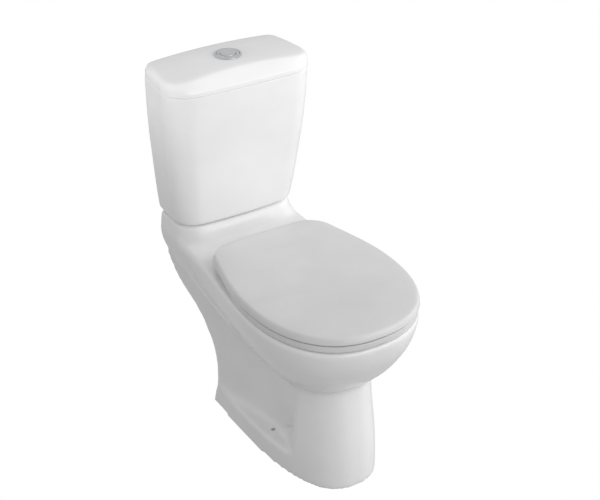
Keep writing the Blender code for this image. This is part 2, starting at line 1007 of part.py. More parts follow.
def pipe_along(name, route, radii, longer=0.0):
    rings = []
    last = (route[-1] - route[-2]).normalized() * longer
    route = [*route[:-1], route[-1] + last]
    for index, (centre, radius) in enumerate(zip(route, radii)):
        before = route[max(index - 1, 0)]
        after = route[min(index + 1, len(route) - 1)]
        forward = (after - before).normalized()
        across = Vector((1, 0, 0))
        up = across.cross(forward)
        ring = []
        for step in range(trap_count):
            angle = 2 * half_turn * step / trap_count
            ring.append(centre + across * (radius * math.cos(angle)) + up * (radius * math.sin(angle)))
        rings.append(ring)
    return loft(name, rings, None, cutters)


def bowl_width_at(y, height):
    width_share, front_share, rear_share = read_table(bowl_shares, height / rim_height)
    half_width = rim_half_width * width_share
    if y < -rim_widest:
        reach = (-rim_widest - y) / (rim_front * front_share - rim_widest)
        return half_width * max(1 - min(reach, 1.0) ** rim_power, 0.0) ** (1 / rim_power)
    share = (y + rim_widest) / (pan_back * rear_share + rim_widest)
    back_width = min(back_half_width * blend(width_share, 1, back_width_share), half_width)
    return blend(half_width, back_width, smooth(share))


def hollow_width_at(y, height):
    # Half width of the casting's inside: the wider of what the bowl and the web leave.
    level = max(height, 0.0)
    half_width, front, rear, _ = column_sizes(level)
    inner = column_width_at(max(min(y, rear), front), level) - china_wall
    if y < foot_widest:
        reach = min((foot_widest - y) / (foot_widest - front - china_wall), 1.0)
        inner = (half_width - china_wall) * (1 - reach**foot_power) ** (1 / foot_power)
    if y > -recess_edge and level > ledge_height - china_wall:
        inner = min(inner, web_width_at(min(y, rear), max(level, ledge_height)) - china_wall)
    if level > rim_height * bowl_shares[0][0] and y < hollow_front:
        inner = max(inner, bowl_width_at(y - china_wall, level) - china_wall)
    return max(inner, 0.0)


def pedestal_hollow():
    # The open inside of foot and column, and the space between the bowl's two walls.
    levels = [-overrun]
    levels += [ledge_height - china_wall * share for share in hollow_foot_shares]
    levels += [rim_height * share for share in hollow_column_shares]
    levels.append(channel_low - china_wall)
    back = wall_y + overrun
    steps = 60
    rings = []
    for height in levels:
        level = max(height, 0.0)
        tip = column_sizes(level)[1] + china_wall
        if level > rim_height * bowl_shares[0][0]:
            front_share = read_table(bowl_shares, level / rim_height)[1]
            tip = min(tip, -rim_front * front_share + china_wall)
        points = []
        for step in range(steps + 1):
            y = blend(tip, back, (step / steps) ** 2)
            points.append(Vector((hollow_width_at(y, height), y)))
        points[0].x = 0.0
        rings.append(ring_of(spread(points, half_ring_count - 3, rim_edge), height))
    return loft("pedestal_hollow", rings, None, cutters)


def open_back(half, width):
    # Runs a half outline out through the back of the pan, past the round of its corner.
    edge = pan_back - back_corner
    path = [point for point in half if point.y < edge and point.x > gap]
    neck = back_half_width - back_corner - rear_wall_width / 2
    path += [Vector((width, edge)), Vector((neck, pan_back)), Vector((neck, wall_y + overrun))]
    return path


def rear_hollow():
    # The open space under the deck, behind the bowl.
    roof = rim_height - deck_thickness
    rings = []
    for height_share in rear_hollow_shares:
        height = roof * height_share
        width_share = read_table(bowl_shares, height / rim_height)[0]
        half_width = back_half_width * blend(width_share, 1, back_width_share) - rear_wall_width
        front_corner = Vector((half_width, hollow_front))
        rings.append(ring_of(open_back([front_corner], half_width), height))
    return loft("rear_hollow", rings, None, cutters)


def shelf_hollow():
    # The space under the shelf, which opens into the one under the deck.
    inset = rear_wall_width
    half = shelf_half(riser_top_y + inset, inset, 0)
    half = open_back(half, shelf_back_half_width - inset)
    half = [Vector((0, half[0].y)), *spread(half, half_ring_count, rim_edge)[1:]]
    rings = [ring_of(half, height) for height in (rim_height - deck_thickness * 2, shelf_under)]
    return loft("shelf_hollow", rings, None, cutters)


def hole(name, radius, low, high, at, count=None):
    return rod(name, radius, low, high, None, cutters, at, count)


def pan_holes():
    low = rim_height - overrun
    high = shelf_height + overrun
    holes = [flush_hole()]
    for side in (-1, 1):
        at = (side * bolt_spacing / 2, flush_y)
        holes.append(hole(f"bolt_hole_{side}", bolt_radius + bolt_clearance, low, high, at))
        at = (side * hinge_spacing / 2, hinge_y)
        under = low - deck_thickness
        over = rim_height + overrun
        holes.append(hole(f"hinge_hole_{side}", stud_radius + stud_clearance, under, over, at))
        at = (side * floor_hole_x, -floor_hole_y)
        over = ledge_height + overrun
        holes.append(hole(f"floor_hole_{side}", floor_hole_radius, ledge_height / 2, over, at))
    radius = fill_nut_radius + fill_passage_clearance
    holes.append(hole("fill_passage", radius, low, high, (fill_x, fill_y), round_count))
    return holes


def make_pan():
    rings = []
    for row in column_shares:
        height = rim_height * row[0]
        rings.append(ring_of(spread(column_half(height), half_ring_count, rim_edge), height))
    pan = loft("pan", rings, china)
    cut(pan, recess_cutter(1), recess_cutter(-1), solver="MANIFOLD")
    join(pan, bowl_body(), shelf_body(), solver="MANIFOLD")
    cut(pan, pedestal_hollow(), rear_hollow(), shelf_hollow(), solver="MANIFOLD")

    collar_radius = inlet_radius + china_wall
    low, high = duct_floor, shelf_under + gap
    collar = hole("inlet_collar", collar_radius, low, high, (0, flush_y), round_count)
    basin_body = basin("basin_body", china_wall, basin_count - 2)
    join(pan, basin_body, duct_body(), collar, solver="MANIFOLD")
    # The trap's wall is thin as far as its last bend, then thickens to the spigot.
    route = trap_route()
    outside = [trap_bore + trap_wall] * (len(route) - 2) + [spigot_radius] * 2
    join(pan, pipe_along("trap_body", route, outside), solver="MANIFOLD")

    basin_inside = basin("basin_inside", 0.0, basin_count)
    cut(pan, mouth_cutter(), basin_inside, channel_cutter(), duct_cutter(), solver="MANIFOLD")
    bore = pipe_along("trap_bore", route, [trap_bore] * len(route), overrun)
    cut(pan, bore, solver="MANIFOLD")
    return cut(pan, *pan_holes(), solver="MANIFOLD")


# Cistern and lid

# height, way from foot to rim, fullness, inset of the bottom edge
cistern_shares = (
    (0.000, 0.00, 0.0, 1.00),
    (0.006, 0.01, 0.0, 0.50),
    (0.018, 0.03, 0.0, 0.18),
    (0.040, 0.05, 0.15, 0.00),
    (0.200, 0.20, 0.60, 0.00),
    (0.400, 0.40, 0.84, 0.00),
    (0.600, 0.60, 1.00, 0.00),
    (0.800, 0.80, 0.85, 0.00),
    (1.000, 1.00, 0.35, 0.00),
)
rim_fullness_share = cistern_shares[-1][2]
# height over the tank floor and inset of the inside's bottom edge
tank_inside_shares = (
    (0.000, 1.00),
    (0.008, 0.40),
    (0.024, 0.10),
    (0.060, 0.00),
    (0.200, 0.00),
    (0.400, 0.00),
    (0.600, 0.00),
    (0.800, 0.00),
)
# height and inset of the lid's outside: shares of its height and of its front slope
lid_shares = (
    (0.000, 0.010),
    (0.050, 0.000),
    (0.430, 0.010),
    (0.565, 0.075),
    (0.690, 0.220),
    (0.800, 0.400),
    (0.890, 0.660),
    (0.960, 1.000),
    (1.000, 1.600),
)


def tank_half(share, fullness_share, inset):
    # Half the plan of the tank at a share of its height.
    grow = cistern_fullness * fullness_share - inset
    return cistern_half(
        blend(cistern_foot_half_width, cistern_rim_half_width, share) + grow,
        blend(cistern_foot_back_half_width, cistern_rim_back_half_width, share) + grow,
        blend(cistern_foot_front_y, cistern_rim_front_y, share) - grow,
        blend(cistern_foot_bow, cistern_rim_bow, share),
        max(blend(cistern_foot_front_corner, cistern_rim_front_corner, share) - inset, cistern_wall),
        max(cistern_back_corner - inset, cistern_wall),
        cistern_back - inset,
    )


def make_cistern():
    rings = []
    for height_share, way_share, fullness_share, inset_share in cistern_shares:
        half = tank_half(way_share, fullness_share, cistern_edge * inset_share)
        half = spread(half, half_ring_count, rim_edge)
        rings.append(ring_of(half, cistern_base + cistern_height * height_share))
    tank = loft("cistern", rings, china)
    inside = []
    for height_share, inset_share in tank_inside_shares:
        level = blend(tank_floor, cistern_top, height_share)
        outer_share = (level - cistern_base) / cistern_height
        way_share, fullness_share, _ = read_table(cistern_shares, outer_share)
        half = tank_half(way_share, fullness_share, cistern_wall + cistern_edge * inset_share)
        inside.append(ring_of(spread(half, half_ring_count, rim_edge), level))
    half = spread(tank_half(1, rim_fullness_share, cistern_wall), half_ring_count, rim_edge)
    inside.append(ring_of(half, cistern_top + overrun))
    cut(tank, loft("tank_inside", inside, None, cutters))
    low = cistern_base - overrun
    high = tank_floor + overrun
    cut(tank, hole("tail_hole", tail_radius + tail_clearance, low, high, (0, flush_y), round_count))
    for side in (-1, 1):
        at = (side * bolt_spacing / 2, flush_y)
        cut(tank, hole(f"tank_bolt_hole_{side}", bolt_radius + bolt_clearance, low, high, at))
    cut(tank, hole("shank_hole", shank_radius + shank_clearance, low, high, (fill_x, fill_y)))


def lid_half(inset):
    # The lid's slope is long at the front and shorter at the sides and the back.
    across = inset * lid_side_slope_share
    return cistern_half(
        lid_half_width - across,
        lid_back_half_width - across,
        lid_front_y + inset,
        cistern_rim_bow,
        max(lid_front_corner - across, lid_wall),
        max(lid_back_corner - across, lid_wall),
        wall_y - across,
    )


def lid_inner_half(inset):
    return tank_half(1, rim_fullness_share, cistern_wall + lid_lip_clearance + inset)


def crowned(ring, crown):
    # Lowers a ring towards both sides, so that water runs off.
    made = []
    for point in ring:
        across = point.x / lid_half_width
        made.append(Vector((point.x, point.y, point.z - crown * across * across)))
    return made


def make_lid():
    rings = []
    for height_share, inset_share in lid_shares:
        half = spread(lid_half(lid_slope * inset_share), half_ring_count, rim_edge)
        ring = ring_of(half, lid_base + lid_height * height_share)
        rings.append(crowned(ring, lid_crown * smooth(height_share)))
    lid = loft("cistern_lid", rings, china)
    lip_low = lid_base - lid_lip_drop
    lip = [spread(lid_inner_half(inset), half_ring_count, rim_edge) for inset in (lid_lip_width / 4, 0)]
    levels = ((lip[0], lip_low), (lip[1], lip_low + lid_lip_width / 4), (lip[1], lid_base + lid_wall))
    join(lid, loft("lid_lip", [ring_of(half, level) for half, level in levels], None, cutters))
    inside = (
        (lid_lip_width, lip_low - overrun),
        (lid_lip_width, lid_base + lid_wall * 0.6),
        (0, lid_base + lid_wall * 1.1),
        (0, lid_ceiling - lid_wall * 1.3),
        (lid_wall, lid_ceiling - lid_wall * 0.4),
        (lid_wall * 3, lid_ceiling),
    )
    rings = []
    for inset, level in inside:
        rings.append(ring_of(spread(lid_inner_half(inset), half_ring_count, rim_edge), level))
    cut(lid, loft("lid_inside", rings, None, cutters))
    radius = bezel_body_radius + button_hole_clearance
    over = lid_top + overrun
    cut(lid, hole("button_hole", radius, lid_base, over, (0, button_y), round_count))


# Flush buttons


def make_buttons():
    # A bezel clamped in the lid with two nested buttons, each with its own push rod.
    seat = lid_top + gap
    top = seat + bezel_flange
    floor_low = top - bezel_depth
    floor_top = floor_low + bezel_floor
    edge = bezel_flange * 0.4
    bezel = turned(
        "button_bezel",
        (
            (bezel_bore, top),
            (bezel_radius - edge, top),
            (bezel_radius, top - edge),
            (bezel_radius, seat),
            (bezel_body_radius, seat),
            (bezel_body_radius, floor_low),
            (0, floor_low),
            (0, floor_top),
            (bezel_bore, floor_top),
        ),
        chrome,
        None,
        (0, button_y, 0),
    )
    nut_top = lid_ceiling - gap
    nut = tube(
        "button_nut",
        ring_nut_radius,
        bezel_body_radius + gap,
        nut_top - ring_nut_height,
        nut_top,
        white_plastic,
        None,
        (0, button_y),
    )
    inner = half_button_radius + button_clearance * 1.5
    outer = bezel_bore - button_clearance
    low = top - button_thickness
    full = turned(
        "full_button",
        (
            (outer - edge, top),
            (outer, top - edge),
            (outer, low),
            (inner, low),
            (inner, top - edge),
            (inner + edge, top),
        ),
        chrome,
        None,
        (0, button_y, 0),
    )
    half_top = top + half_button_rise
    half = turned(
        "half_button",
        (
            (0, half_top),
            (half_button_radius * 0.6, half_top - edge * 0.3),
            (half_button_radius - edge, half_top - edge),
            (half_button_radius, half_top - edge * 2),
            (half_button_radius, low),
            (0, low),
        ),
        chrome,
        None,
        (0, button_y, 0),
    )
    rods = []
    for name, x in (("full_rod", full_rod_x), ("half_rod", half_rod_x)):
        radius = rod_radius + button_clearance
        cut(bezel, hole(f"{name}_hole", radius, floor_low - gap, floor_top + gap, (x, rod_y)))
        rods.append(rod(name, rod_radius, rod_low, low - gap, white_plastic, None, (x, rod_y)))
    hang_on(joint_empty("lid_slide", (0, button_y, lid_base)), bezel, nut, bpy.data.objects["cistern_lid"])
    hang_on(joint_empty("full_button_slide", (0, button_y, top)), full, rods[0])
    hang_on(joint_empty("half_button_slide", (0, button_y, top)), half, rods[1])


# Seat, cover and their hinges

# height and inset of the seat ring's outer and inner edges: shares of its thickness
seat_edge_shares = (
    (0.00, 0.20),
    (0.10, 0.05),
    (0.27, 0.00),
    (0.73, 0.00),
    (0.91, 0.08),
    (1.00, 0.27),
)
# height and inset of the cover's edge: shares of the edge's height and inset
cover_edge_shares = (
    (0.00, 0.20),
    (0.10, 0.00),
    (0.70, 0.37),
    (0.90, 0.70),
    (1.00, 1.00),
)
cover_side_shares = (0.351, 0.305, 0.695)
# height over the edge and size of the dome's rings
cover_dome_shares = (
    (0.25, 0.93),
    (0.50, 0.80),
    (0.76, 0.60),
    (0.95, 0.35),
)
rib_share = 0.8
# places of the bumpers, as shares of the way round the ring from its front
seat_bumper_shares = (("front", 0.28), ("rear", 0.66))
cover_bumper_shares = (("front", 0, 0.0), ("left", -1, 0.50), ("right", 1, 0.50))


def cover_half(inset, rear):
    half_width = cover_half_width - inset
    rear_width = cover_rear_half_width - inset
    back = rear - inset
    corner = Vector((rear_width, back - cover_rear_bow))
    near_share, across_share, far_share = cover_side_shares
    across = blend(rear_width, half_width, across_share)
    side = bezier(
        Vector((half_width, -cover_widest)),
        Vector((half_width, blend(-cover_widest, corner.y, near_share))),
        Vector((across, blend(-cover_widest, corner.y, far_share))),
        corner,
    )
    steps = 20
    rear_arc = []
    for step in range(steps + 1):
        share = 1 - step / steps
        rear_arc.append(Vector((rear_width * share, back - cover_rear_bow * share * share)))
    side = trimmed(side[1:], corner, cover_rear_corner - inset)
    rear_arc = trimmed(rear_arc, corner, cover_rear_corner - inset)
    around = corner_curve(side[-1], corner, rear_arc[0])
    front = nose(half_width, inset - wall_y, -cover_widest, cover_power)
    return front + side + around[1:-1] + rear_arc


def seat_hole_half(outset):
    return egg_half(seat_hole_half_width, mouth_front, seat_hole_rear, basin_power, outset)


def knuckle(name, low_x, material, collection, radius=None, width=None):
    # A short cylinder along the hinge's axis.
    radius = radius or knuckle_radius
    reach = width or knuckle_width
    profile = ((0, reach), (radius, reach), (radius, 0), (0, 0))
    at = (low_x, hinge_y, hinge_z)
    return turned(name, profile, material, collection, at, small_count, (1, 0, 0))


def knuckle_bore(name, low_x, width):
    return knuckle(name, low_x - overrun, None, cutters, pin_radius + running_gap, width + overrun * 2)


def post_low_x(side):
    return side * hinge_spacing / 2 - post_width / 2


def knuckle_low_x(side, outward):
    # The seat's knuckle stands inside the post and the cover's outside it.
    offset = post_width / 2 + running_gap * 2 + knuckle_width / 2
    return side * (hinge_spacing / 2 + outward * offset) - knuckle_width / 2


def make_seat_ring():
    rings = []
    for height_share, inset_share in seat_edge_shares:
        inset = seat_inset + seat_thickness * inset_share
        half = spread(cover_half(inset, seat_rear), half_ring_count, rim_edge)
        rings.append(ring_of(half, seat_base + seat_thickness * height_share))
    for height_share, inset_share in reversed(seat_edge_shares[1:]):
        half = spread(seat_hole_half(seat_thickness * inset_share * 1.5), half_ring_count, rim_edge)
        rings.append(ring_of(half, seat_base + seat_thickness * height_share))
    ring = loft("seat_ring", rings, moulded, None, closed=True)
    roof = seat_base + seat_recess
    outer = spread(cover_half(seat_inset + seat_rim_width, seat_rear), half_ring_count, rim_edge)
    inner = spread(seat_hole_half(seat_rim_width), half_ring_count, rim_edge)
    floor = seat_base - overrun
    around = [ring_of(outer, floor), ring_of(outer, roof), ring_of(inner, roof), ring_of(inner, floor)]
    cut(ring, loft("seat_recess", around, None, cutters, closed=True), solver="MANIFOLD")
    for side in (-1, 1):
        low_x = knuckle_low_x(side, -1)
        lug = box(
            f"seat_lug_{side}",
            (low_x, seat_rear - seat_rim_width, hinge_z - knuckle_radius * rib_share),
            (low_x + knuckle_width, hinge_y, seat_base + seat_thickness - gap),
            None,
            cutters,
        )
        join(ring, lug, knuckle(f"seat_knuckle_{side}", low_x, None, cutters), solver="MANIFOLD")
    for side in (-1, 1):
        bore = knuckle_bore(f"seat_bore_{side}", knuckle_low_x(side, -1), knuckle_width)
        cut(ring, bore, solver="MANIFOLD")
    return ring, outer, inner


def make_cover():
    rings = []
    for height_share, inset_share in cover_edge_shares:
        half = spread(cover_half(cover_edge_inset * inset_share, cover_rear), half_ring_count, rim_edge)
        rings.append(ring_of(half, cover_base + cover_edge_height * height_share))
    edge = rings[-1]
    middle = Vector((0, mid(-wall_y, cover_rear), 0))
    for height_share, size_share in cover_dome_shares:
        level = cover_base + cover_edge_height + cover_dome * height_share
        ring = [middle + (point - middle) * size_share for point in edge]
        rings.append([Vector((point.x, point.y, level)) for point in ring])
    cover = loft("seat_cover", rings, moulded)
    roof = cover_base + cover_edge_height - cover_shell
    inside = []
    for inset, level in (
        (cover_shell, cover_base - overrun),
        (cover_shell, cover_base + cover_shell / 4),
        (cover_shell * 1.1, roof - cover_shell / 3),
        (cover_shell * 1.6, roof),
    ):
        half = spread(cover_half(inset, cover_rear), half_ring_count, rim_edge)
        inside.append(ring_of(half, level))
    cut(cover, loft("cover_inside", inside, None, cutters), solver="MANIFOLD")
    for side in (-1, 1):
        low_x = knuckle_low_x(side, 1)
        rib = box(
            f"cover_rib_{side}",
            (low_x, hinge_y - knuckle_radius * rib_share, hinge_z),
            (low_x + knuckle_width, hinge_y + knuckle_radius * rib_share, roof + cover_shell / 3),
            None,
            cutters,
        )
        join(cover, rib, knuckle(f"cover_knuckle_{side}", low_x, None, cutters), solver="MANIFOLD")
    for side in (-1, 1):
        bore = knuckle_bore(f"cover_bore_{side}", knuckle_low_x(side, 1), knuckle_width)
        cut(cover, bore, solver="MANIFOLD")
    return cover, roof


def make_hinges():
    # Two posts on the deck carry the pins; a cone washer and a nut hold each from below.
    foot_low = rim_height + gap
    foot_top = foot_low + post_flange_height
    under_deck = rim_height - deck_thickness
    for side, word in ((-1, "left"), (1, "right")):
        x = side * hinge_spacing / 2
        post = turned(
            f"hinge_post_{word}",
            (
                (0, foot_top),
                (post_flange_radius - gap * 2, foot_top),
                (post_flange_radius, foot_top - gap * 2),
                (post_flange_radius, foot_low),
                (stud_radius, foot_low),
                (stud_radius, foot_low - stud_length),
                (0, foot_low - stud_length),
            ),
            chrome,
            None,
            (x, hinge_y, 0),
        )
        low_x = post_low_x(side)
        column = box(
            f"post_column_{word}",
            (low_x, hinge_y - post_half_depth, foot_low + post_flange_height / 2),
            (low_x + post_width, hinge_y + post_half_depth, hinge_z),
            None,
            cutters,
        )
        head = knuckle(f"post_head_{word}", low_x, None, cutters, knuckle_radius, post_width)
        join(post, column, head)
        reach = post_width + overrun * 2
        cut(post, knuckle(f"post_bore_{word}", low_x - overrun, None, cutters, pin_radius + gap, reach))
        ends = [knuckle_low_x(side, outward) for outward in (-1, 1)]
        first, last = min(ends), max(ends) + knuckle_width
        knuckle(f"hinge_pin_{word}", first + gap, steel, None, pin_radius, last - first - gap * 2)
        cone_top = under_deck - gap
        bore = stud_radius + gap
        turned(
            f"hinge_washer_{word}",
            (
                (bore, cone_top),
                (cone_radius, cone_top),
                (cone_radius, cone_top - cone_height / 3),
                (cone_tip_radius, cone_top - cone_height),
                (bore, cone_top - cone_height),
            ),
            rubber,
            None,
            (x, hinge_y, 0),
            small_count,
        )
        nut_top = cone_top - cone_height - gap
        tube(
            f"hinge_nut_{word}",
            hinge_nut_radius,
            bore,
            nut_top - hinge_nut_height,
            nut_top,
            white_plastic,
            None,
            (x, hinge_y),
            small_count,
        )


def bumper_place(outer, inner, way_share):
    index = round(way_share * half_ring_count)
    return mid(outer[index], inner[index])


def make_seat():
    ring, outer, inner = make_seat_ring()
    cover, roof = make_cover()
    make_hinges()
    seat_pieces = [ring]
    low = rim_height + gap
    high = seat_base + seat_recess - gap
    for end, way_share in seat_bumper_shares:
        at = bumper_place(outer, inner, way_share)
        for side, word in ((-1, "left"), (1, "right")):
            name = f"seat_bumper_{end}_{word}"
            seat_pieces.append(rod(name, bumper_radius, low, high, rubber, None, (side * at.x, at.y)))
    cover_pieces = [cover]
    low = seat_base + seat_thickness + gap
    high = roof - gap
    for word, side, way_share in cover_bumper_shares:
        at = bumper_place(outer, inner, way_share)
        name = f"cover_bumper_{word}"
        cover_pieces.append(rod(name, cover_bumper_radius, low, high, rubber, None, (side * at.x, at.y)))
    seat_hinge = joint_empty("seat_hinge_axis", (0, hinge_y, hinge_z))
    cover_hinge = joint_empty("cover_hinge_axis", (0, hinge_y, hinge_z))
    hang_on(seat_hinge, *seat_pieces)
    hang_on(cover_hinge, *cover_pieces)


# Flush valve and coupling


def make_flush_valve():
    lip_top = flange_top + seat_lip_height
    turned(
        "flush_valve_base",
        (
            (tail_bore, lip_top),
            (tail_bore + seat_lip_width, lip_top),
            (tail_bore + seat_lip_width, flange_top),
            (valve_flange_radius, flange_top),
            (valve_flange_radius, flange_low),
            (tail_radius, flange_low),
            (tail_radius, flange_low - tail_length),
            (tail_bore, flange_low - tail_length),
        ),
        white_plastic,
        None,
        (0, flush_y, 0),
    )
    seal_low = lip_top + gap
    seal_top = seal_low + seal_height
    bore = overflow_radius + gap
    seal = tube("flush_seal", seal_radius, bore, seal_low, seal_top, rubber, None, (0, flush_y))
    disc_low = seal_top + gap
    bore = overflow_radius - overflow_wall
    overflow = turned(
        "overflow_tube",
        (
            (bore, seal_low + overflow_height),
            (overflow_radius, seal_low + overflow_height),
            (overflow_radius, disc_low + overflow_disc_height),
            (overflow_disc_radius, disc_low + overflow_disc_height),
            (overflow_disc_radius, disc_low),
            (overflow_radius, disc_low),
            (overflow_radius, seal_low),
            (bore, seal_low),
        ),
        blue_plastic,
        None,
        (0, flush_y, 0),
    )
    hang_on(joint_empty("valve_lift_slide", (0, flush_y, lip_top)), overflow, seal)

    guide = overflow_radius + running_gap * 2
    cage = turned(
        "valve_cage",
        (
            (guide, cage_top),
            (cage_radius, cage_top),
            (cage_radius, cage_low),
            (cage_radius - cage_wall, cage_low),
            (cage_radius - cage_wall, cage_top - cage_wall),
            (guide, cage_top - cage_wall),
        ),
        white_plastic,
        None,
        (0, flush_y, 0),
    )
    window_low = cage_low + cage_window_sill
    for index in range(cage_window_count):
        window = box(
            f"cage_window_{index}",
            (-cage_radius - overrun, -cage_window_half_width, window_low),
            (cage_radius + overrun, cage_window_half_width, window_low + cage_window_height),
            None,
            cutters,
        )
        window.rotation_euler = (0, 0, half_turn * index / cage_window_count)
        window.location = (0, flush_y, 0)
        cut(cage, window)

    head = box(
        "valve_head",
        (-head_half_width, flush_y - head_front, head_low),
        (head_half_width, flush_y + head_back, head_top),
        blue_plastic,
        None,
    )
    over = head_top + overrun
    cut(head, hole("head_hole", guide, head_low - overrun, over, (0, flush_y), round_count))
    for name, x in (("full", full_rod_x), ("half", half_rod_x)):
        radius = rod_radius + socket_clearance
        cut(head, hole(f"{name}_socket", radius, head_top - socket_depth, over, (x, rod_y)))

    nut_top = cistern_base - gap
    nut_low = nut_top - backnut_height
    bore = tail_radius + gap
    tube("valve_backnut", backnut_radius, bore, nut_low, nut_top, white_plastic, None, (0, flush_y))
    outer = gasket_seat_radius - gap * 2
    step = backnut_radius + gap * 2
    inner = tail_radius + gap * 4
    turned(
        "tank_gasket",
        (
            (outer, nut_top),
            (outer, gasket_floor + gap),
            (inner, gasket_floor + gap),
            (inner, nut_low - gap),
            (step, nut_low - gap),
            (step, nut_top),
        ),
        rubber,
        None,
        (0, flush_y, 0),
    )


def make_coupling():
    # Two bolts through tank floor and shelf, each with a washer and a wing nut.
    bore = bolt_radius + gap
    for side, word in ((-1, "left"), (1, "right")):
        at = (side * bolt_spacing / 2, flush_y)
        low = tank_floor + gap
        high = low + bolt_washer_height
        tube(f"bolt_washer_{word}", bolt_washer_radius, bore, low, high, rubber, None, at, small_count)
        bolt_low = high + gap
        turned(
            f"tank_bolt_{word}",
            (
                (0, bolt_low + bolt_head_height),
                (bolt_head_radius * bolt_crown_share, bolt_low + bolt_head_height),
                (bolt_head_radius, bolt_low + bolt_head_height / 2),
                (bolt_head_radius, bolt_low),
                (bolt_radius, bolt_low),
                (bolt_radius, bolt_low - bolt_length),
                (0, bolt_low - bolt_length),
            ),
            brass,
            None,
            (*at, 0),
            small_count,
        )
        high = shelf_under - gap
        low = high - plate_washer_height
        tube(f"plate_washer_{word}", plate_washer_radius, bore, low, high, steel, None, at, small_count)
        nut_top = low - gap
        nut_low = nut_top - wing_height
        nut = tube(f"wing_nut_{word}", wing_hub_radius, bore, nut_low, nut_top, brass, None, at, small_count)
        for end in (-1, 1):
            near = flush_y + end * (wing_hub_radius + bore) / 2
            far = flush_y + end * wing_span / 2
            wing = box(
                f"wing_{word}_{end}",
                (at[0] - wing_thickness / 2, min(near, far), nut_low + wing_inset),
                (at[0] + wing_thickness / 2, max(near, far), nut_top - wing_inset),
                None,
                cutters,
            )
            join(nut, wing)


# Fill valve


def make_fill_valve():
    washer_low = tank_floor + gap
    washer_top = washer_low + fill_washer_height
    at = (fill_x, fill_y)
    bore = shank_radius + gap
    tube("fill_washer", fill_washer_radius, bore, washer_low, washer_top, rubber, None, at)
    base_low = washer_top + gap
    base_top = base_low + fill_flange_height
    shank_low = tank_floor - shank_length
    inlet_low = base_top + riser_height
    inlet_top = inlet_low + fill_head_height
    body = turned(
        "fill_valve_body",
        (
            (0, inlet_top),
            (fill_head_radius - arm_thickness / 2, inlet_top),
            (fill_head_radius, inlet_top - arm_thickness / 2),
            (fill_head_radius, inlet_low),
            (riser_radius, inlet_low),
            (riser_radius, base_top),
            (fill_flange_radius, base_top),
            (fill_flange_radius, base_low),
            (shank_radius, base_low),
            (shank_radius, shank_low),
            (shank_bore, shank_low),
            (shank_bore, base_top),
            (0, base_top),
        ),
        white_plastic,
        None,
        (*at, 0),
    )
    arm_y = fill_y - fill_head_radius - arm_width * arm_offset_share
    link_x = fill_x + arm_width * arm_offset_share
    pivot_x = link_x - arm_length
    pivot_z = mid(inlet_low, inlet_top)
    bracket_y = arm_y + arm_width / 2 + arm_clearance
    bracket = box(
        "arm_bracket",
        (pivot_x - arm_hub_radius, bracket_y, pivot_z - arm_hub_radius),
        (fill_x, fill_y, pivot_z + arm_hub_radius),
        None,
        cutters,
    )
    pin = turned(
        "arm_pin",
        ((0, arm_width * 2), (arm_pin_radius, arm_width * 2), (arm_pin_radius, 0), (0, 0)),
        None,
        cutters,
        (pivot_x, arm_y - arm_width / 2, pivot_z),
        small_count,
        (0, 1, 0),
    )
    join(body, bracket, pin)
    arm = turned(
        "float_arm",
        (
            (0, arm_width),
            (arm_hub_radius, arm_width),
            (arm_hub_radius, 0),
            (0, 0),
        ),
        blue_plastic,
        None,
        (pivot_x, arm_y - arm_width / 2, pivot_z),
        small_count,
        (0, 1, 0),
    )
    bar = box(
        "arm_bar",
        (pivot_x, arm_y - arm_width / 2, pivot_z - arm_thickness / 2),
        (link_x + arm_width / 2, arm_y + arm_width / 2, pivot_z + arm_thickness / 2),
        None,
        cutters,
    )
    arm_bore = turned(
        "arm_bore",
        (
            (0, arm_width + overrun * 2),
            (arm_pin_radius + running_gap, arm_width + overrun * 2),
            (arm_pin_radius + running_gap, 0),
            (0, 0),
        ),
        None,
        cutters,
        (pivot_x, arm_y - arm_width / 2 - overrun, pivot_z),
        small_count,
        (0, 1, 0),
    )
    join(arm, bar)
    cut(arm, arm_bore)
    hang_on(joint_empty("float_arm_axis", (pivot_x, arm_y, pivot_z)), arm)

    float_top = inlet_low - gap - float_travel - running_gap
    float_low = float_top - float_height
    edge = float_clearance * 2
    bore = riser_radius + float_clearance
    floating = turned(
        "fill_float",
        (
            (bore, float_top),
            (float_radius - edge, float_top),
            (float_radius, float_top - edge),
            (float_radius, float_low + edge),
            (float_radius - edge, float_low),
            (bore, float_low),
        ),
        grey_plastic,
        None,
        (*at, 0),
    )
    link_top = pivot_z - arm_thickness / 2 - running_gap
    link = rod("float_link", link_radius, float_top + gap, link_top, grey_plastic, None, (link_x, arm_y))
    hang_on(joint_empty("float_slide", (fill_x, fill_y, float_low)), floating, link)

    nut_top = cistern_base - gap
    nut_low = nut_top - fill_nut_height
    bore = shank_radius + gap
    tube("fill_backnut", fill_nut_radius, bore, nut_low, nut_top, white_plastic, None, at, small_count)


make_pan()
make_cistern()
make_lid()
make_buttons()
make_seat()
make_flush_valve()
make_coupling()
make_fill_valve()
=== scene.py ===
import math

import bmesh
import bpy
import numpy as np
from mathutils import Matrix


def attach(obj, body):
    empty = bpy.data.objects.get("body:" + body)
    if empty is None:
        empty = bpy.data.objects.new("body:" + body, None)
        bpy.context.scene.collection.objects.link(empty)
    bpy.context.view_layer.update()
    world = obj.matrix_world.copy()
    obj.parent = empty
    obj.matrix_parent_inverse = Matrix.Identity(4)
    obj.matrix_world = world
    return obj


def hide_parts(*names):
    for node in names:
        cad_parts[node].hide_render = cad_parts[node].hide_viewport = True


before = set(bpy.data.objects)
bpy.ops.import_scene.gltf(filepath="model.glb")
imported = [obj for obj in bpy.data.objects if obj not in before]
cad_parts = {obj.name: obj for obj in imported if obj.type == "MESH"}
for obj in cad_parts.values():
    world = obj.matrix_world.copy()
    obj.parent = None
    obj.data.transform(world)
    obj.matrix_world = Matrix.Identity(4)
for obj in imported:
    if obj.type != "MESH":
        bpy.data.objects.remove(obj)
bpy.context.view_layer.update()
halfTurn = math.pi
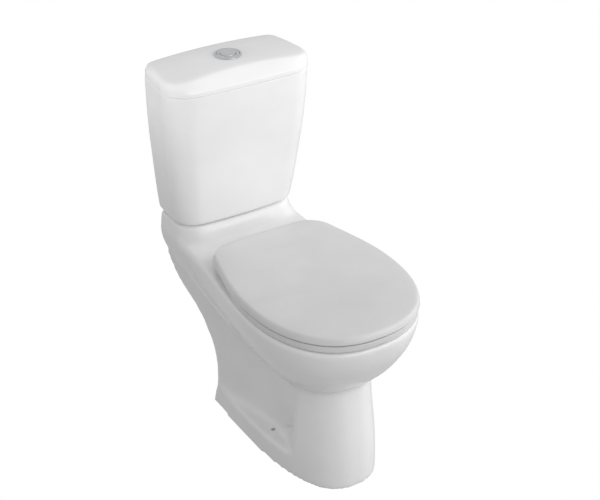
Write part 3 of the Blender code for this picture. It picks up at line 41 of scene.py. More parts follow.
millimetre = 0.001
finish = {}  # materials by name

# Numbers and curves in the plane. A curve is an array with a point in each row.

curves = {
    "tiny": 1e-9,
    "weld": 1e-6,
    "axisGap": 0.0002,
    "soft": 0.0005,
    "edgeShare": 0.45,
    "edgeFullness": 0.72,
}


def blend(first, second, share):
    return first + (second - first) * share


def smooth(share):
    share = np.clip(share, 0.0, 1.0)
    return share * share * (3 - 2 * share)


def point(x, y):
    return np.array((x, y), float)


slopeMemory = {}


def columnSlopes(table):
    # Slopes that keep a curve through the rows smooth and free of overshoot.
    key = id(table)
    if key not in slopeMemory:
        rows = np.array(table, float)
        step = np.diff(rows[:, 0])[:, None]
        secant = np.diff(rows[:, 1:], axis=0) / step
        slopes = np.zeros_like(rows[:, 1:])
        slopes[0], slopes[-1] = secant[0], secant[-1]
        before, after = secant[:-1], secant[1:]
        left, right = step[:-1], step[1:]
        same = before * after > 0
        safeBefore = np.where(same, before, 1.0)
        safeAfter = np.where(same, after, 1.0)
        weightA, weightB = left + 2 * right, 2 * left + right
        mean = (weightA + weightB) / (weightA / safeAfter + weightB / safeBefore)
        slopes[1:-1] = np.where(same, mean, 0.0)
        slopeMemory[key] = (rows, slopes, table)  # with the table, so that its id stays its own
    return slopeMemory[key][:2]


def readTable(table, key):
    # Reads a smooth curve through the rows of a table whose first column rises.
    rows, slopes = columnSlopes(table)
    key = min(max(key, rows[0, 0]), rows[-1, 0])
    index = min(int(np.searchsorted(rows[:, 0], key, side="right")) - 1, len(rows) - 2)
    width = rows[index + 1, 0] - rows[index, 0]
    t = (key - rows[index, 0]) / width
    low, high = rows[index, 1:], rows[index + 1, 1:]
    lowSlope, highSlope = slopes[index] * width, slopes[index + 1] * width
    return (
        low * (2 * t**3 - 3 * t**2 + 1)
        + lowSlope * (t**3 - 2 * t**2 + t)
        + high * (3 * t**2 - 2 * t**3)
        + highSlope * (t**3 - t**2)
    )


def spread(points, count, bend=0.01):
    # Spaces points along a curve, closer together where it turns.
    points = np.asarray(points, float)
    steps = np.diff(points, axis=0)
    lengths = np.linalg.norm(steps, axis=1)
    keep = np.concatenate(([True], lengths > curves["tiny"]))
    points = points[keep]
    steps = np.diff(points, axis=0)
    lengths = np.linalg.norm(steps, axis=1)
    ways = steps / lengths[:, None]
    turns = np.arccos(np.clip((ways[1:] * ways[:-1]).sum(axis=1), -1, 1))
    marks = np.concatenate(([0.0], np.cumsum(lengths + bend * np.concatenate(([0.0], turns)))))
    wanted = np.linspace(0, marks[-1], count + 1)
    return np.stack([np.interp(wanted, marks, points[:, axis]) for axis in range(points.shape[1])], axis=1)


def nose(halfWidth, tip, widest, power, count=120):
    turn = np.linspace(0, halfTurn / 2, count + 1)
    across = halfWidth * np.sin(turn) ** (2 / power)
    along = widest - (widest - tip) * np.maximum(np.cos(turn), 0) ** (2 / power)
    return np.stack((across, along), axis=1)


def bezierCurve(first, second, third, fourth, count=60):
    t = np.linspace(0, 1, count + 1)[:, None]
    s = 1 - t
    return first * s**3 + second * 3 * s * s * t + third * 3 * s * t * t + fourth * t**3


def cornerCurve(before, corner, after, count=24, fullness=0.75):
    t = np.linspace(0, 1, count + 1)[:, None]
    s = 1 - t
    weight = s * s + 2 * fullness * s * t + t * t
    return (before * s * s + corner * 2 * fullness * s * t + after * t * t) / weight


def trimmed(points, corner, radius):
    return points[np.linalg.norm(points - corner, axis=1) > radius]


def ringOf(half, height):
    # Mirrors a half outline that starts on the axis, and may end there, into a closed ring.
    right = np.column_stack((half, np.full(len(half), height)))
    last = len(right) - 1 if right[-1, 0] < curves["weld"] else len(right)
    right[0, 0] = 0.0
    right[1:last, 0] = np.maximum(right[1:last, 0], curves["axisGap"])
    left = right[1:last][::-1] * (-1, 1, 1)
    return np.concatenate((right, left))


def quarter(steps=8):
    # Pairs that run round a quarter circle: how far in, how far along.
    turns = np.linspace(0, halfTurn / 2, steps)
    return [(1 - math.sin(turn), 1 - math.cos(turn)) for turn in turns]


def unit(step):
    return step / np.linalg.norm(step)


def roundedCorners(points, rooms, steps=6):
    # Rounds each corner of a closed outline by the room that it is given.
    made = []
    for index, (corner, room) in enumerate(zip(points, rooms)):
        back, forth = points[index - 1] - corner, points[(index + 1) % len(points)] - corner
        room = min(room, curves["edgeShare"] * min(np.linalg.norm(back), np.linalg.norm(forth)))
        if room <= 0:
            made.append(corner)
            continue
        start, end = corner + unit(back) * room, corner + unit(forth) * room
        made.extend(cornerCurve(start, corner, end, steps, curves["edgeFullness"]))
    return made


# Objects


def makeObject(name, vertices, faces, material=None, angle=40):
    mesh = bpy.data.meshes.new(name)
    mesh.from_pydata([tuple(v) for v in vertices], [], faces)
    body = bmesh.new()
    body.from_mesh(mesh)
    bmesh.ops.remove_doubles(body, verts=body.verts, dist=curves["weld"])
    bmesh.ops.recalc_face_normals(body, faces=body.faces)
    body.to_mesh(mesh)
    body.free()
    mesh.shade_smooth()
    mesh.set_sharp_from_angle(angle=math.radians(angle))
    made = bpy.data.objects.new(name, mesh)
    bpy.context.scene.collection.objects.link(made)
    if material:
        mesh.materials.append(finish[material])
    return made


def loft(name, rings, material=None, closed=False, angle=40, ends=(True, True)):
    # Skins a row of rings with the same number of points. Each end that is asked for gets one face.
    count = len(rings[0])
    vertices = np.concatenate(rings)
    faces = []
    last = len(rings) if closed else len(rings) - 1
    for row in range(last):
        here, there = row * count, (row + 1) % len(rings) * count
        for index in range(count):
            after = (index + 1) % count
            faces.append((here + index, here + after, there + after, there + index))
    if not closed:
        if ends[0]:
            faces.append(tuple(range(count)))
        if ends[1]:
            faces.append(tuple(range((len(rings) - 1) * count, len(rings) * count)))
    return makeObject(name, vertices, faces, material, angle)


def roundedProfile(profile, radius, steps):
    # A row is radius, height and, where it isn't the usual one, the rounding. Corners on the axis stay.
    points = [point(*row[:2]) for row in profile]
    rooms = [row[2] if len(row) > 2 else radius for row in profile]
    rooms = [0 if corner[0] <= curves["tiny"] else room for corner, room in zip(points, rooms)]
    return roundedCorners(points, rooms, steps)


def turned(
    name, profile, material, at=(0, 0), radius=curves["soft"], count=64, steps=3, along=None, axis=0
):
    # Turns a profile of (radius, height) about an upright axis, or from along about X or Y.
    profile = roundedProfile(profile, radius, steps)
    angles = np.arange(count) * 2 * halfTurn / count
    vertices, faces, rows = [], [], []
    for reach, height in profile:
        if reach <= curves["tiny"]:
            rows.append([len(vertices)] * count)
            vertices.append((0.0, 0.0, height))
        else:
            rows.append(list(range(len(vertices), len(vertices) + count)))
            vertices.extend((reach * math.cos(a), reach * math.sin(a), height) for a in angles)
    for row, following in zip(rows, rows[1:] + rows[:1]):
        for step in range(count):
            after = (step + 1) % count
            corners = list(dict.fromkeys((row[step], row[after], following[after], following[step])))
            if len(corners) > 2:
                faces.append(tuple(corners))
    vertices = np.array(vertices)
    if along is not None:
        vertices = vertices[:, (2, 0, 1) if axis == 0 else (1, 2, 0)] + np.array(along)
    else:
        vertices = vertices + np.array((at[0], at[1], 0.0))
    return makeObject(name, vertices, faces, material)


def applied(body):
    # Gives an object the plain mesh that its modifiers make.
    graph = bpy.context.evaluated_depsgraph_get()
    mesh = bpy.data.meshes.new_from_object(body.evaluated_get(graph))
    body.modifiers.clear()
    old = body.data
    body.data = mesh
    bpy.data.meshes.remove(old)
    return body


def boolean(body, others, operation="DIFFERENCE"):
    for other in others:
        step = body.modifiers.new(operation, "BOOLEAN")
        step.operation = operation
        step.solver = "MANIFOLD"
        step.object = other
        applied(body)
        bpy.data.objects.remove(other)
    return body


def sharpen(body, angle=40):
    body.data.shade_smooth()
    body.data.set_sharp_from_angle(angle=math.radians(angle))
    return body


def toArrays(mesh):
    coordinates = np.zeros(len(mesh.vertices) * 3)
    mesh.vertices.foreach_get("co", coordinates)
    edges = np.zeros(len(mesh.edges) * 2, int)
    mesh.edges.foreach_get("vertices", edges)
    return coordinates.reshape(-1, 3), edges.reshape(-1, 2)


def neighbourMean(values, edges, degree):
    count = len(values)
    total = np.zeros_like(values)
    for axis in range(values.shape[1]):
        total[:, axis] = np.bincount(edges[:, 0], values[edges[:, 1], axis], count)
        total[:, axis] += np.bincount(edges[:, 1], values[edges[:, 0], axis], count)
    return total / degree[:, None]


relaxing = {
    "ripplePasses": 6,
    "rippleFactors": (0.55, -0.57),
    "creaseGain": 9,
    "creaseFloor": 0.15,
    "growPasses": 8,
    "growth": 1.12,
    "blurPasses": 3,
    "filletPasses": 12,
    "filletFactor": 0.6,
    "lastPasses": 4,
    "lastFactor": 0.35,
}


def relax(body, keep, voxel):
    # Takes the ripple off a remeshed casting, then opens its inner corners into fillets.
    mesh = body.data
    places, edges = toArrays(mesh)
    degree = np.bincount(edges.ravel(), minlength=len(places)).astype(float)
    free = 1.0 - keep(places)[:, None]

    def pull():
        return neighbourMean(places, edges, degree) - places

    for _ in range(relaxing["ripplePasses"]):
        for factor in relaxing["rippleFactors"]:
            places += factor * pull()
    normals = np.zeros(len(mesh.vertices) * 3)
    mesh.vertices.foreach_get("normal", normals)
    inward = (pull() * normals.reshape(-1, 3)).sum(axis=1, keepdims=True)
    concave = np.clip(inward / voxel * relaxing["creaseGain"] - relaxing["creaseFloor"], 0, 1)
    for _ in range(relaxing["growPasses"]):
        concave = np.maximum(concave, neighbourMean(concave, edges, degree) * relaxing["growth"])
    concave = np.clip(concave, 0, 1)
    for _ in range(relaxing["blurPasses"]):
        concave = neighbourMean(concave, edges, degree)
    weight = concave * free
    for _ in range(relaxing["filletPasses"]):
        places += relaxing["filletFactor"] * weight * pull()
    for _ in range(relaxing["lastPasses"]):
        places += relaxing["lastFactor"] * free * pull()
    places[:, 2] = np.maximum(places[:, 2], 0.0)
    mesh.vertices.foreach_set("co", places.ravel())
    mesh.update()
    return body


def snake(name):
    # hingePostLeft gives hinge_post_left, as nodes and slots are named.
    return "".join(f"_{letter.lower()}" if letter.isupper() else letter for letter in name)


def settle(body, bodyName, *nodes):
    # A piece joins its body and stands for the nodes given, which are hidden. The slot of its material is
    # looked up but not used.
    material = next(material for material in body.data.materials if material)
    slot = next(name for name, made in finish.items() if made == material)
    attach(body, bodyName)
    snake(slot)
    if nodes:
        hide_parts(*nodes)
    print(body.name, len(body.data.polygons), "faces")
    return body


# Materials


def colour(text):
    # The linear values of a colour as it is written for a screen.
    values = [int(text[i : i + 2], 16) / 255 for i in (1, 3, 5)]
    return tuple(v / 12.92 if v <= 0.04045 else ((v + 0.055) / 1.055) ** 2.4 for v in values) + (1.0,)


def setInputs(tree, node, values):
    for name, value in values.items():
        socket = node.inputs[name]
        if isinstance(value, bpy.types.NodeSocket):
            tree.links.new(value, socket)
        else:
            socket.default_value = value
    return node


def addNode(tree, kind, inputs=None, **settings):
    node = tree.nodes.new(kind)
    for name, value in settings.items():
        setattr(node, name, value)
    return setInputs(tree, node, inputs or {})


pattern = {
    "from": (0.3, 0.7),
    "colourDetail": 3.0,
    "roughnessScale": 2.3,
    "roughnessDetail": 4.0,
    "bumpDetail": 2.0,
}


def newMaterial(name, settings):
    # A shader with its plain values, a mottled colour, varied roughness and a fine bump.
    made = bpy.data.materials.new(name)
    made.use_nodes = True
    tree = made.node_tree
    shader = setInputs(tree, tree.nodes["Principled BSDF"], settings["shader"])
    place = addNode(tree, "ShaderNodeTexCoord").outputs["Object"]

    def noise(size, detail):
        values = {"Vector": place, "Scale": 1 / (size * millimetre), "Detail": detail}
        return addNode(tree, "ShaderNodeTexNoise", values).outputs["Fac"]

    def between(value, low, high):
        first, last = pattern["from"]
        values = {"Value": value, "From Min": first, "From Max": last, "To Min": low, "To Max": high}
        return addNode(tree, "ShaderNodeMapRange", values).outputs["Result"]

    # sockets 0, 6 and 7 of a colour mix are its factor and its two colours, and output 2 the result
    dark, light = settings["colours"]
    mottle = between(noise(settings["patch"], pattern["colourDetail"]), 0.0, 1.0)
    values = {0: mottle, 6: colour(dark), 7: colour(light)}
    mixed = addNode(tree, "ShaderNodeMix", values, data_type="RGBA")
    patches = noise(settings["patch"] / pattern["roughnessScale"], pattern["roughnessDetail"])
    height = noise(settings["grain"], pattern["bumpDetail"])
    values = {"Height": height, "Strength": settings["bump"], "Distance": settings["bumpDepth"]}
    bump = addNode(tree, "ShaderNodeBump", values)
    values = {
        "Base Color": mixed.outputs[2],
        "Roughness": between(patches, *settings["roughness"]),
        "Normal": bump.outputs["Normal"],
    }
    setInputs(tree, shader, values)
    finish[name] = made


# patch is how wide the patches of colour are and grain how wide the bumps are, in millimetres. Real
# mould and tool marks are finer than the grain, which is as coarse as it needs to be to show.
plastic = {
    "shader": {"IOR": 1.5},
    "patch": 25.0,
    "grain": 1.429,
    "bump": 0.1,
    "bumpDepth": 0.0003,
}
metal = {
    "shader": {"Metallic": 1.0},
    "patch": 11.11,
    "grain": 1.111,
    "bump": 0.1,
    "bumpDepth": 0.0002,
}
finishes = {
    # glaze fired on cast china: white and wet-looking, and never quite flat
    "glazedChina": {
        "shader": {"Coat Weight": 0.4, "Coat Roughness": 0.12, "Coat IOR": 1.5, "IOR": 1.5},
        "colours": ("#f2f2f2", "#f7f7f7"),
        "roughness": (0.19, 0.26),
        "patch": 111.1,
        "grain": 16.67,
        "bump": 0.06,
        "bumpDepth": 0.001,
    },
    # hard thermoset, moulded and polished: a satin white, greyer than the china
    "mouldedSeat": {
        **plastic,
        "shader": {"IOR": 1.5, "Coat Weight": 0.15, "Coat Roughness": 0.2},
        "colours": ("#dcdcdc", "#e2e2e2"),
        "roughness": (0.30, 0.40),
        "patch": 83.3,
        "grain": 1.111,
        "bump": 0.05,
    },
    # polished and plated: a cool mirror with soft edges
    "chrome": {
        **metal,
        "colours": ("#e0e2e4", "#ebedef"),
        "roughness": (0.05, 0.12),
        "patch": 12.5,
        "grain": 2.5,
        "bump": 0.02,
    },
    # moulded polypropylene: dull, in the plain colours of the workings
    "whitePlastic": {**plastic, "colours": ("#dedfdd", "#eaebe9"), "roughness": (0.35, 0.5)},
    "greyPlastic": {**plastic, "colours": ("#a2a5a9", "#b2b5b9"), "roughness": (0.4, 0.55)},
    "bluePlastic": {**plastic, "colours": ("#5b83a8", "#6a93b8"), "roughness": (0.35, 0.5)},
    # moulded rubber: near black and dull
    "rubber": {
        **plastic,
        "shader": {"IOR": 1.52},
        "colours": ("#202021", "#2c2c2d"),
        "roughness": (0.65, 0.85),
        "patch": 16.67,
        "grain": 0.833,
        "bump": 0.25,
    },
    # pressed steel and turned brass: grey and warm yellow with a broad sheen
    "steel": {**metal, "colours": ("#a7a6a3", "#bcbbb8"), "roughness": (0.22, 0.38)},
    "brass": {**metal, "colours": ("#a98848", "#c4a25c"), "roughness": (0.22, 0.4)},
}
for name, settings in finishes.items():
    newMaterial(name, settings)
print("materials made")


# Pan: rows of shares give the outlines, level by level

pan = {
    "depth": 0.670,
    "rimHeight": 0.400,
    "shelfHeight": 0.435,
    "wall": 0.012,
    "overrun": 0.010,
    "rimEdge": 0.005,
    "shelfEdge": 0.010,
    "footHalfWidth": 0.1156,
    "footFront": 0.2598,
    "footWidest": 0.0288,
    "footRear": 0.1661,
    "footRearHalfWidth": 0.1089,
    "footPower": 2.6,
    "ledgeHeight": 0.054,
    "ledgeFillet": 0.010,
    "recessMiddle": 0.070,
    "recessEdge": 0.165,
    "recessDepth": 0.0425,
    "rearEdgeLip": 0.001,
    "rimHalfWidth": 0.1755,
    "rimFront": 0.332,
    "rimWidest": 0.110,
    "rimPower": 2.4,
    "deckHalfWidth": 0.150,
    "backHalfWidth": 0.147,
    "panBack": 0.325,
    "backCorner": 0.013,
    "deckSideY": 0.200,
    "shoulderEdge": 0.010,
    "shoulderStartY": 0.020,
    "shoulderFullY": 0.130,
    "riserFootY": 0.178,
    "riserTopY": 0.2025,
    "shelfHalfWidth": 0.1405,
    "shelfBackHalfWidth": 0.1435,
    "mouthHalfWidth": 0.120,
    "mouthFront": 0.262,
    "mouthRear": 0.052,
    "lipThickness": 0.010,
    "channelWidth": 0.028,
    "channelRoof": 0.013,
    "channelHeight": 0.036,
    "lipDrop": 0.043,
    "sumpDepth": 0.315,
    "basinPower": 2.3,
    "floorHoleRadius": 0.005,
    "floorHoleX": 0.087,
    "floorHoleY": 0.065,
    "trapBore": 0.0375,
    "trapWall": 0.0095,
    "spigotRadius": 0.051,
    "spigotLength": 0.014,
    "outletHeight": 0.180,
    "outletEnd": 0.275,
    "dipHeight": 0.110,
    "dipY": 0.056,
    "dipBend": 0.055,
    "crestHeight": 0.235,
    "crestBend": 0.049,
    "deckThickness": 0.014,
    "shelfThickness": 0.027,
    "hollowFront": 0.099,
    "ductHalfWidth": 0.032,
    "ductHeight": 0.024,
    "ductFront": 0.083,
    "rearWallWidth": 0.0145,
    "flushY": 0.268,
    "inletRadius": 0.031,
    "gasketSeatRadius": 0.047,
    "gasketSeatDepth": 0.0165,
    "boltSpacing": 0.130,
    "boltHoleRadius": 0.0055,
    "fillX": 0.104,
    "fillY": 0.272,
    "fillPassageRadius": 0.0225,
    "hingeSpacing": 0.155,
    "hingeY": 0.1135,
    "studHoleRadius": 0.007,
    "grooveRadius": 0.0095,
    "grooveDepth": 0.0115,
    "shelfBow": 0.0105,
    "shelfCorner": 0.0544,
    "cornerFullness": 0.85,
    "floorEdge": 0.004,
    "floorHoleLow": 0.027,
    "floorHoleTop": 0.075,
    "ductLift": 0.0003,
    "lap": 0.001,
    "gasketEntry": 0.004,
    "gasketSoft": 0.002,
    "trapStart": -135,
    "columnSideShares": (0.365, 0.67, 0.33),
    "webPower": 0.85,
    "recessRunShare": 0.35,
    "rimSideShares": (0.40, 0.62),
    "deckReachShare": 0.7,
    "deckWidthShare": 0.35,
    "backWidthShare": 0.30,
    "eggMiddleShare": 0.52,
    "hollowFloorShares": (1.4, 0.7),
    "rearHollowShare": 0.70,
    "halfCount": 90,
    "voxel": 0.0042,
    "softAngle": 50,
}
# way back, height and depth of the groove in each flank
grooveShares = (
    (0.710, 0.934, 0.00),
    (0.632, 0.915, 0.35),
    (0.549, 0.879, 0.52),
    (0.430, 0.840, 0.60),
    (0.299, 0.812, 0.60),
    (0.170, 0.782, 0.56),
    (0.090, 0.768, 0.46),
    (0.030, 0.758, 0.00),
)
# height, half width, front and rear reach, rear half width
columnShares = (
    (0.000, 1.000, 1.010, 1.000, 1.000),
    (0.075, 1.004, 1.006, 0.945, 1.000),
    (0.135, 1.006, 1.002, 0.905, 0.995),
    (0.250, 0.998, 0.986, 0.905, 0.985),
    (0.350, 0.982, 0.965, 0.950, 0.995),
    (0.420, 0.970, 0.948, 1.040, 1.005),
    (0.500, 0.960, 0.932, 1.170, 1.030),
    (0.580, 0.952, 0.916, 1.350, 1.075),
    (0.660, 0.950, 0.905, 1.560, 1.160),
    (0.740, 0.955, 0.900, 1.680, 1.240),
    (0.860, 0.960, 0.900, 1.790, 1.330),
)
# height and depth of the side recess
recessShares = (
    (0.135, 1.00),
    (0.250, 0.92),
    (0.375, 0.82),
    (0.500, 0.74),
    (0.600, 0.64),
    (0.700, 0.50),
    (0.800, 0.30),
    (0.900, 0.10),
)
# height, half width, front reach, rear reach
bowlShares = (
    (0.490, 0.30, 0.50, 0.10),
    (0.545, 0.46, 0.632, 0.19),
    (0.600, 0.585, 0.717, 0.26),
    (0.650, 0.688, 0.785, 0.34),
    (0.700, 0.772, 0.843, 0.44),
    (0.750, 0.836, 0.889, 0.57),
    (0.800, 0.888, 0.926, 0.72),
    (0.850, 0.934, 0.959, 0.88),
    (0.900, 0.968, 0.982, 0.965),
    (0.940, 0.988, 0.994, 0.995),
    (0.970, 1.000, 1.000, 1.000),
)
# drop, half width, front reach, rear reach of the bowl's inside
basinShares = (
    (0.000, 1.155, 1.070, 1.36),
    (0.110, 1.100, 1.015, 1.42),
    (0.250, 0.960, 0.880, 1.48),
    (0.390, 0.760, 0.680, 1.44),
    (0.500, 0.590, 0.500, 1.29),
    (0.640, 0.440, 0.310, 1.10),
    (0.800, 0.335, 0.150, 0.94),
    (0.930, 0.270, 0.060, 0.72),
    (1.000, 0.180, 0.010, 0.58),
)
# height, riser, inset and flare of the shelf
shelfShares = (
    (-1.80, 0.45, 1.60, 1.00),
    (-0.90, 0.35, 0.35, 1.00),
    (-0.30, 0.20, 0.05, 1.00),
    (0.00, 0.00, 0.00, 0.95),
    (0.07, 0.28, 0.00, 0.84),
    (0.22, 0.50, 0.00, 0.62),
    (0.55, 0.66, 0.00, 0.26),
    (0.85, 0.80, 0.02, 0.06),
    (0.96, 0.90, 0.10, 0.00),
    (1.00, 1.10, 0.30, 0.00),
)


def columnSizes(height):
    width, front, rear, rearWidth = readTable(columnShares, height / pan["rimHeight"])
    return (
        pan["footHalfWidth"] * width,
        -pan["footFront"] * front,
        pan["footRear"] * rear,
        pan["footRearHalfWidth"] * rearWidth,
    )


def columnHalf(height):
    halfWidth, front, rear, rearWidth = columnSizes(height)
    widest = pan["footWidest"]
    first, second, inward = pan["columnSideShares"]
    side = bezierCurve(
        point(halfWidth, widest),
        point(halfWidth, blend(widest, rear, first)),
        point(blend(rearWidth, halfWidth, inward), blend(widest, rear, second)),
        point(rearWidth, rear),
    )
    return np.concatenate((nose(halfWidth, front, widest, pan["footPower"]), side[1:]))


def columnWidthAt(y, height):
    halfWidth, front, rear, rearWidth = columnSizes(height)
    if y <= pan["footWidest"]:
        share = (pan["footWidest"] - y) / (pan["footWidest"] - front)
        return halfWidth * (1 - min(share, 1.0) ** pan["footPower"]) ** (1 / pan["footPower"])
    return blend(halfWidth, rearWidth, smooth((y - pan["footWidest"]) / (rear - pan["footWidest"])))


def webWidthAt(y, height):
    # Half width of the side web, which dips between the column's edge and the rear edge.
    depthShare = readTable(recessShares, height / pan["rimHeight"])[0]
    halfWidth, _, rear, rearWidth = columnSizes(height)
    middle = halfWidth - pan["recessDepth"] * depthShare
    if y < -pan["recessMiddle"]:
        share = (y + pan["recessMiddle"]) / (pan["recessMiddle"] - pan["recessEdge"])
        edge = columnWidthAt(-pan["recessEdge"], height)
        return blend(middle, edge, share * share)
    share = (y + pan["recessMiddle"]) / (rear + pan["recessMiddle"])
    return blend(middle, rearWidth - pan["rearEdgeLip"], smooth(max(share, 0) ** pan["webPower"]))


def recessCutter(side):
    reach = pan["footHalfWidth"] * 2
    ledge, fillet = pan["ledgeHeight"], pan["ledgeFillet"]
    levels = [(ledge + fillet * upward, fillet * inward) for inward, upward in quarter(6)]
    top = pan["rimHeight"] * columnShares[-1][0]
    levels += [(height, 0) for height in np.linspace(ledge + fillet, top, 40)[1:]]
    front = -pan["recessEdge"] - (pan["recessEdge"] - pan["recessMiddle"]) * pan["recessRunShare"]
    rear = pan["depth"] / 2 + pan["overrun"]
    rings = []
    for height, out in levels:
        ring = [(side * (webWidthAt(y, height) + out), y, height) for y in np.linspace(front, rear, 70)]
        ring += [(side * reach, rear, height), (side * reach, front, height)]
        rings.append(np.array(ring))
    return loft(f"recessCutter{side}", rings)


def rimHalf(heightShare, inset=0.0):
    width, front, rear = readTable(bowlShares, heightShare)
    widest = -pan["rimWidest"]
    halfWidth = pan["rimHalfWidth"] * width - inset
    tip = -pan["rimFront"] * front + inset
    back = pan["panBack"] * rear - inset
    sideY = min(pan["deckSideY"], blend(widest, back, pan["deckReachShare"]))
    sideWidth = min(pan["deckHalfWidth"] * blend(width, 1, pan["deckWidthShare"]) - inset, halfWidth)
    backWidth = min(pan["backHalfWidth"] * blend(width, 1, pan["backWidthShare"]) - inset, sideWidth)
    corner = point(backWidth, back)
    radius = min(pan["backCorner"], backWidth / 2)
    first, second = pan["rimSideShares"]
    side = bezierCurve(
        point(halfWidth, widest),
        point(halfWidth, blend(widest, sideY, first)),
        point(sideWidth, blend(widest, sideY, second)),
        point(sideWidth, sideY),
    )
    straight = np.linspace(point(sideWidth, sideY), corner, 60)[1:]
    path = trimmed(np.concatenate((side[1:], straight)), corner, radius)
    around = cornerCurve(path[-1], corner, point(backWidth - radius, back))
    front = nose(halfWidth, tip, widest, pan["rimPower"])
    return np.concatenate((front, path, around, [point(0, back)]))


def edgeInset(y, height):
    # How far the rim's upper edge has rounded in: tight at the front, wide on the shoulders.
    share = (y - pan["shoulderStartY"]) / (pan["shoulderFullY"] - pan["shoulderStartY"])
    radius = blend(pan["rimEdge"], pan["shoulderEdge"], smooth(share))
    above = np.maximum(height - (pan["rimHeight"] - radius), 0.0) / radius
    return radius * (1 - np.sqrt(np.maximum(1 - above * above, 0.0)))


def bowlBody():
    edge = pan["rimEdge"] / pan["rimHeight"]
    levels = list(np.linspace(bowlShares[0][0], 1 - edge, 56))
    levels += [1 - edge * (1 - math.sin(turn)) for turn in np.linspace(0, halfTurn / 2, 9)[1:]]
    rings = []
    for level in levels:
        height = pan["rimHeight"] * level
        outer = spread(rimHalf(level), pan["halfCount"])
        inner = spread(rimHalf(level, pan["shoulderEdge"]), pan["halfCount"])
        share = edgeInset(outer[:, 1], height)[:, None] / pan["shoulderEdge"]
        rings.append(ringOf(blend(outer, inner, share), height))
    return loft("bowlBody", rings)


def bowedHalf(halfWidth, backWidth, front, bow, frontCorner, backCorner, back):
    # Half the plan of tank, lid or shelf: a bowed front, straight sides and a flat back.
    bowEnd = 1 - frontCorner / halfWidth
    share = np.linspace(0, bowEnd, 81)
    bowed = np.stack((halfWidth * share, front + bow * share * share), axis=1)
    across = point(halfWidth, bow * bowEnd * 2)
    rear = point(backWidth, back)
    outer = point(halfWidth, front + bow)
    along = unit(rear - outer)
    # The corner lies where the front's tangent meets the side.
    reach = np.linalg.solve(np.stack((across, -along), axis=1), outer - bowed[-1])[0]
    corner = bowed[-1] + across * reach
    sideStart, sideEnd = corner + along * frontCorner, rear - along * backCorner
    first = cornerCurve(bowed[-1], corner, sideStart, 32, pan["cornerFullness"])
    second = cornerCurve(sideEnd, rear, point(backWidth - backCorner, back))
    middle = np.linspace(sideStart, sideEnd, 12)[1:-1]
    end = [point(0, back)]
    return np.concatenate((bowed[:-1], first, middle, second, end))


def shelfHalf(frontY, inset, flare):
    return bowedHalf(
        blend(pan["shelfHalfWidth"], pan["deckHalfWidth"], flare) - inset,
        blend(pan["shelfBackHalfWidth"], pan["backHalfWidth"], flare) - inset,
        frontY,
        pan["shelfBow"],
        pan["shelfCorner"],
        pan["backCorner"],
        pan["panBack"] - inset,
    )


def shelfBody():
    rise = pan["shelfHeight"] - pan["rimHeight"]
    riser = pan["riserTopY"] - pan["riserFootY"]
    rings = []
    for level in np.linspace(shelfShares[0][0], 1.0, 44):
        riserShare, insetShare, flareShare = readTable(shelfShares, level)
        half = shelfHalf(pan["riserFootY"] + riser * riserShare, pan["shelfEdge"] * insetShare, flareShare)
        rings.append(ringOf(spread(half, pan["halfCount"]), pan["rimHeight"] + rise * level))
    return loft("shelfBody", rings)


def eggHalf(halfWidth, front, rear, power, grow=0.0):
    widest = blend(-front, rear, pan["eggMiddleShare"])
    forward = nose(halfWidth + grow, -front - grow, widest, power)
    backward = nose(halfWidth + grow, rear + grow, widest, power)
    return np.concatenate((forward, backward[::-1][1:]))


def eggRing(halfWidth, front, rear, height, grow=0.0):
    half = eggHalf(halfWidth, front, rear, pan["basinPower"], grow)
    return ringOf(spread(half, pan["halfCount"]), height)


def basin(name, grow):
    # The bowl's inside, or with grow the outside of its china.
    top = pan["rimHeight"] - pan["lipDrop"]
    rings = []
    for share in np.linspace(0, 1, 48):
        width, front, rear = readTable(basinShares, share)
        low = grow if share == 1 else 0
        height = top - (pan["sumpDepth"] - pan["lipDrop"]) * share - low
        sizes = (pan["mouthHalfWidth"] * width, pan["mouthFront"] * front, pan["mouthRear"] * rear)
        rings.append(eggRing(*sizes, height, grow))
    return loft(name, rings)


def arc(centre, radius, first, last, steps):
    turn = np.radians(np.linspace(first, last, steps + 1))
    return np.stack((centre[0] + np.cos(turn) * radius, centre[1] + np.sin(turn) * radius), axis=1)


def trapRoute():
    # The water's way out in the middle plane: under the dip, over the crest and down to the spigot.
    dip = point(pan["dipY"], pan["dipHeight"] + pan["dipBend"])
    crest = point(dip[0] + pan["dipBend"] + pan["crestBend"], pan["crestHeight"] - pan["crestBend"])
    fall = pan["crestHeight"] - pan["outletHeight"]
    run = pan["outletEnd"] - pan["spigotLength"] - crest[0]
    bend = (run * run + fall * fall) / (fall * 4)
    turn = math.degrees(math.asin(run / (bend * 2)))
    over = point(crest[0], pan["crestHeight"] - bend)
    under = point(crest[0] + run, pan["outletHeight"] + bend)
    return np.concatenate(
        (
            arc(dip, pan["dipBend"], pan["trapStart"], 0, 24),
            arc(crest, pan["crestBend"], 180, 90, 18),
            arc(over, bend, 90, 90 - turn, 10)[1:],
            arc(under, bend, 270 - turn, 270, 10)[1:],
            [point(pan["outletEnd"], pan["outletHeight"])],
        )
    )


def pipeAlong(name, route, radii, longer=0.0, count=56):
    route = route.copy()
    route[-1] += unit(route[-1] - route[-2]) * longer
    angles = np.arange(count) * 2 * halfTurn / count
    rings = []
    for index, (centre, radius) in enumerate(zip(route, radii)):
        before, after = route[max(index - 1, 0)], route[min(index + 1, len(route) - 1)]
        forward = unit(after - before)
        up = np.array((0.0, -forward[1], forward[0]))
        ring = np.array((0.0, centre[0], centre[1])) + np.outer(np.sin(angles), up) * radius
        ring[:, 0] += np.cos(angles) * radius
        rings.append(ring)
    return loft(name, rings)


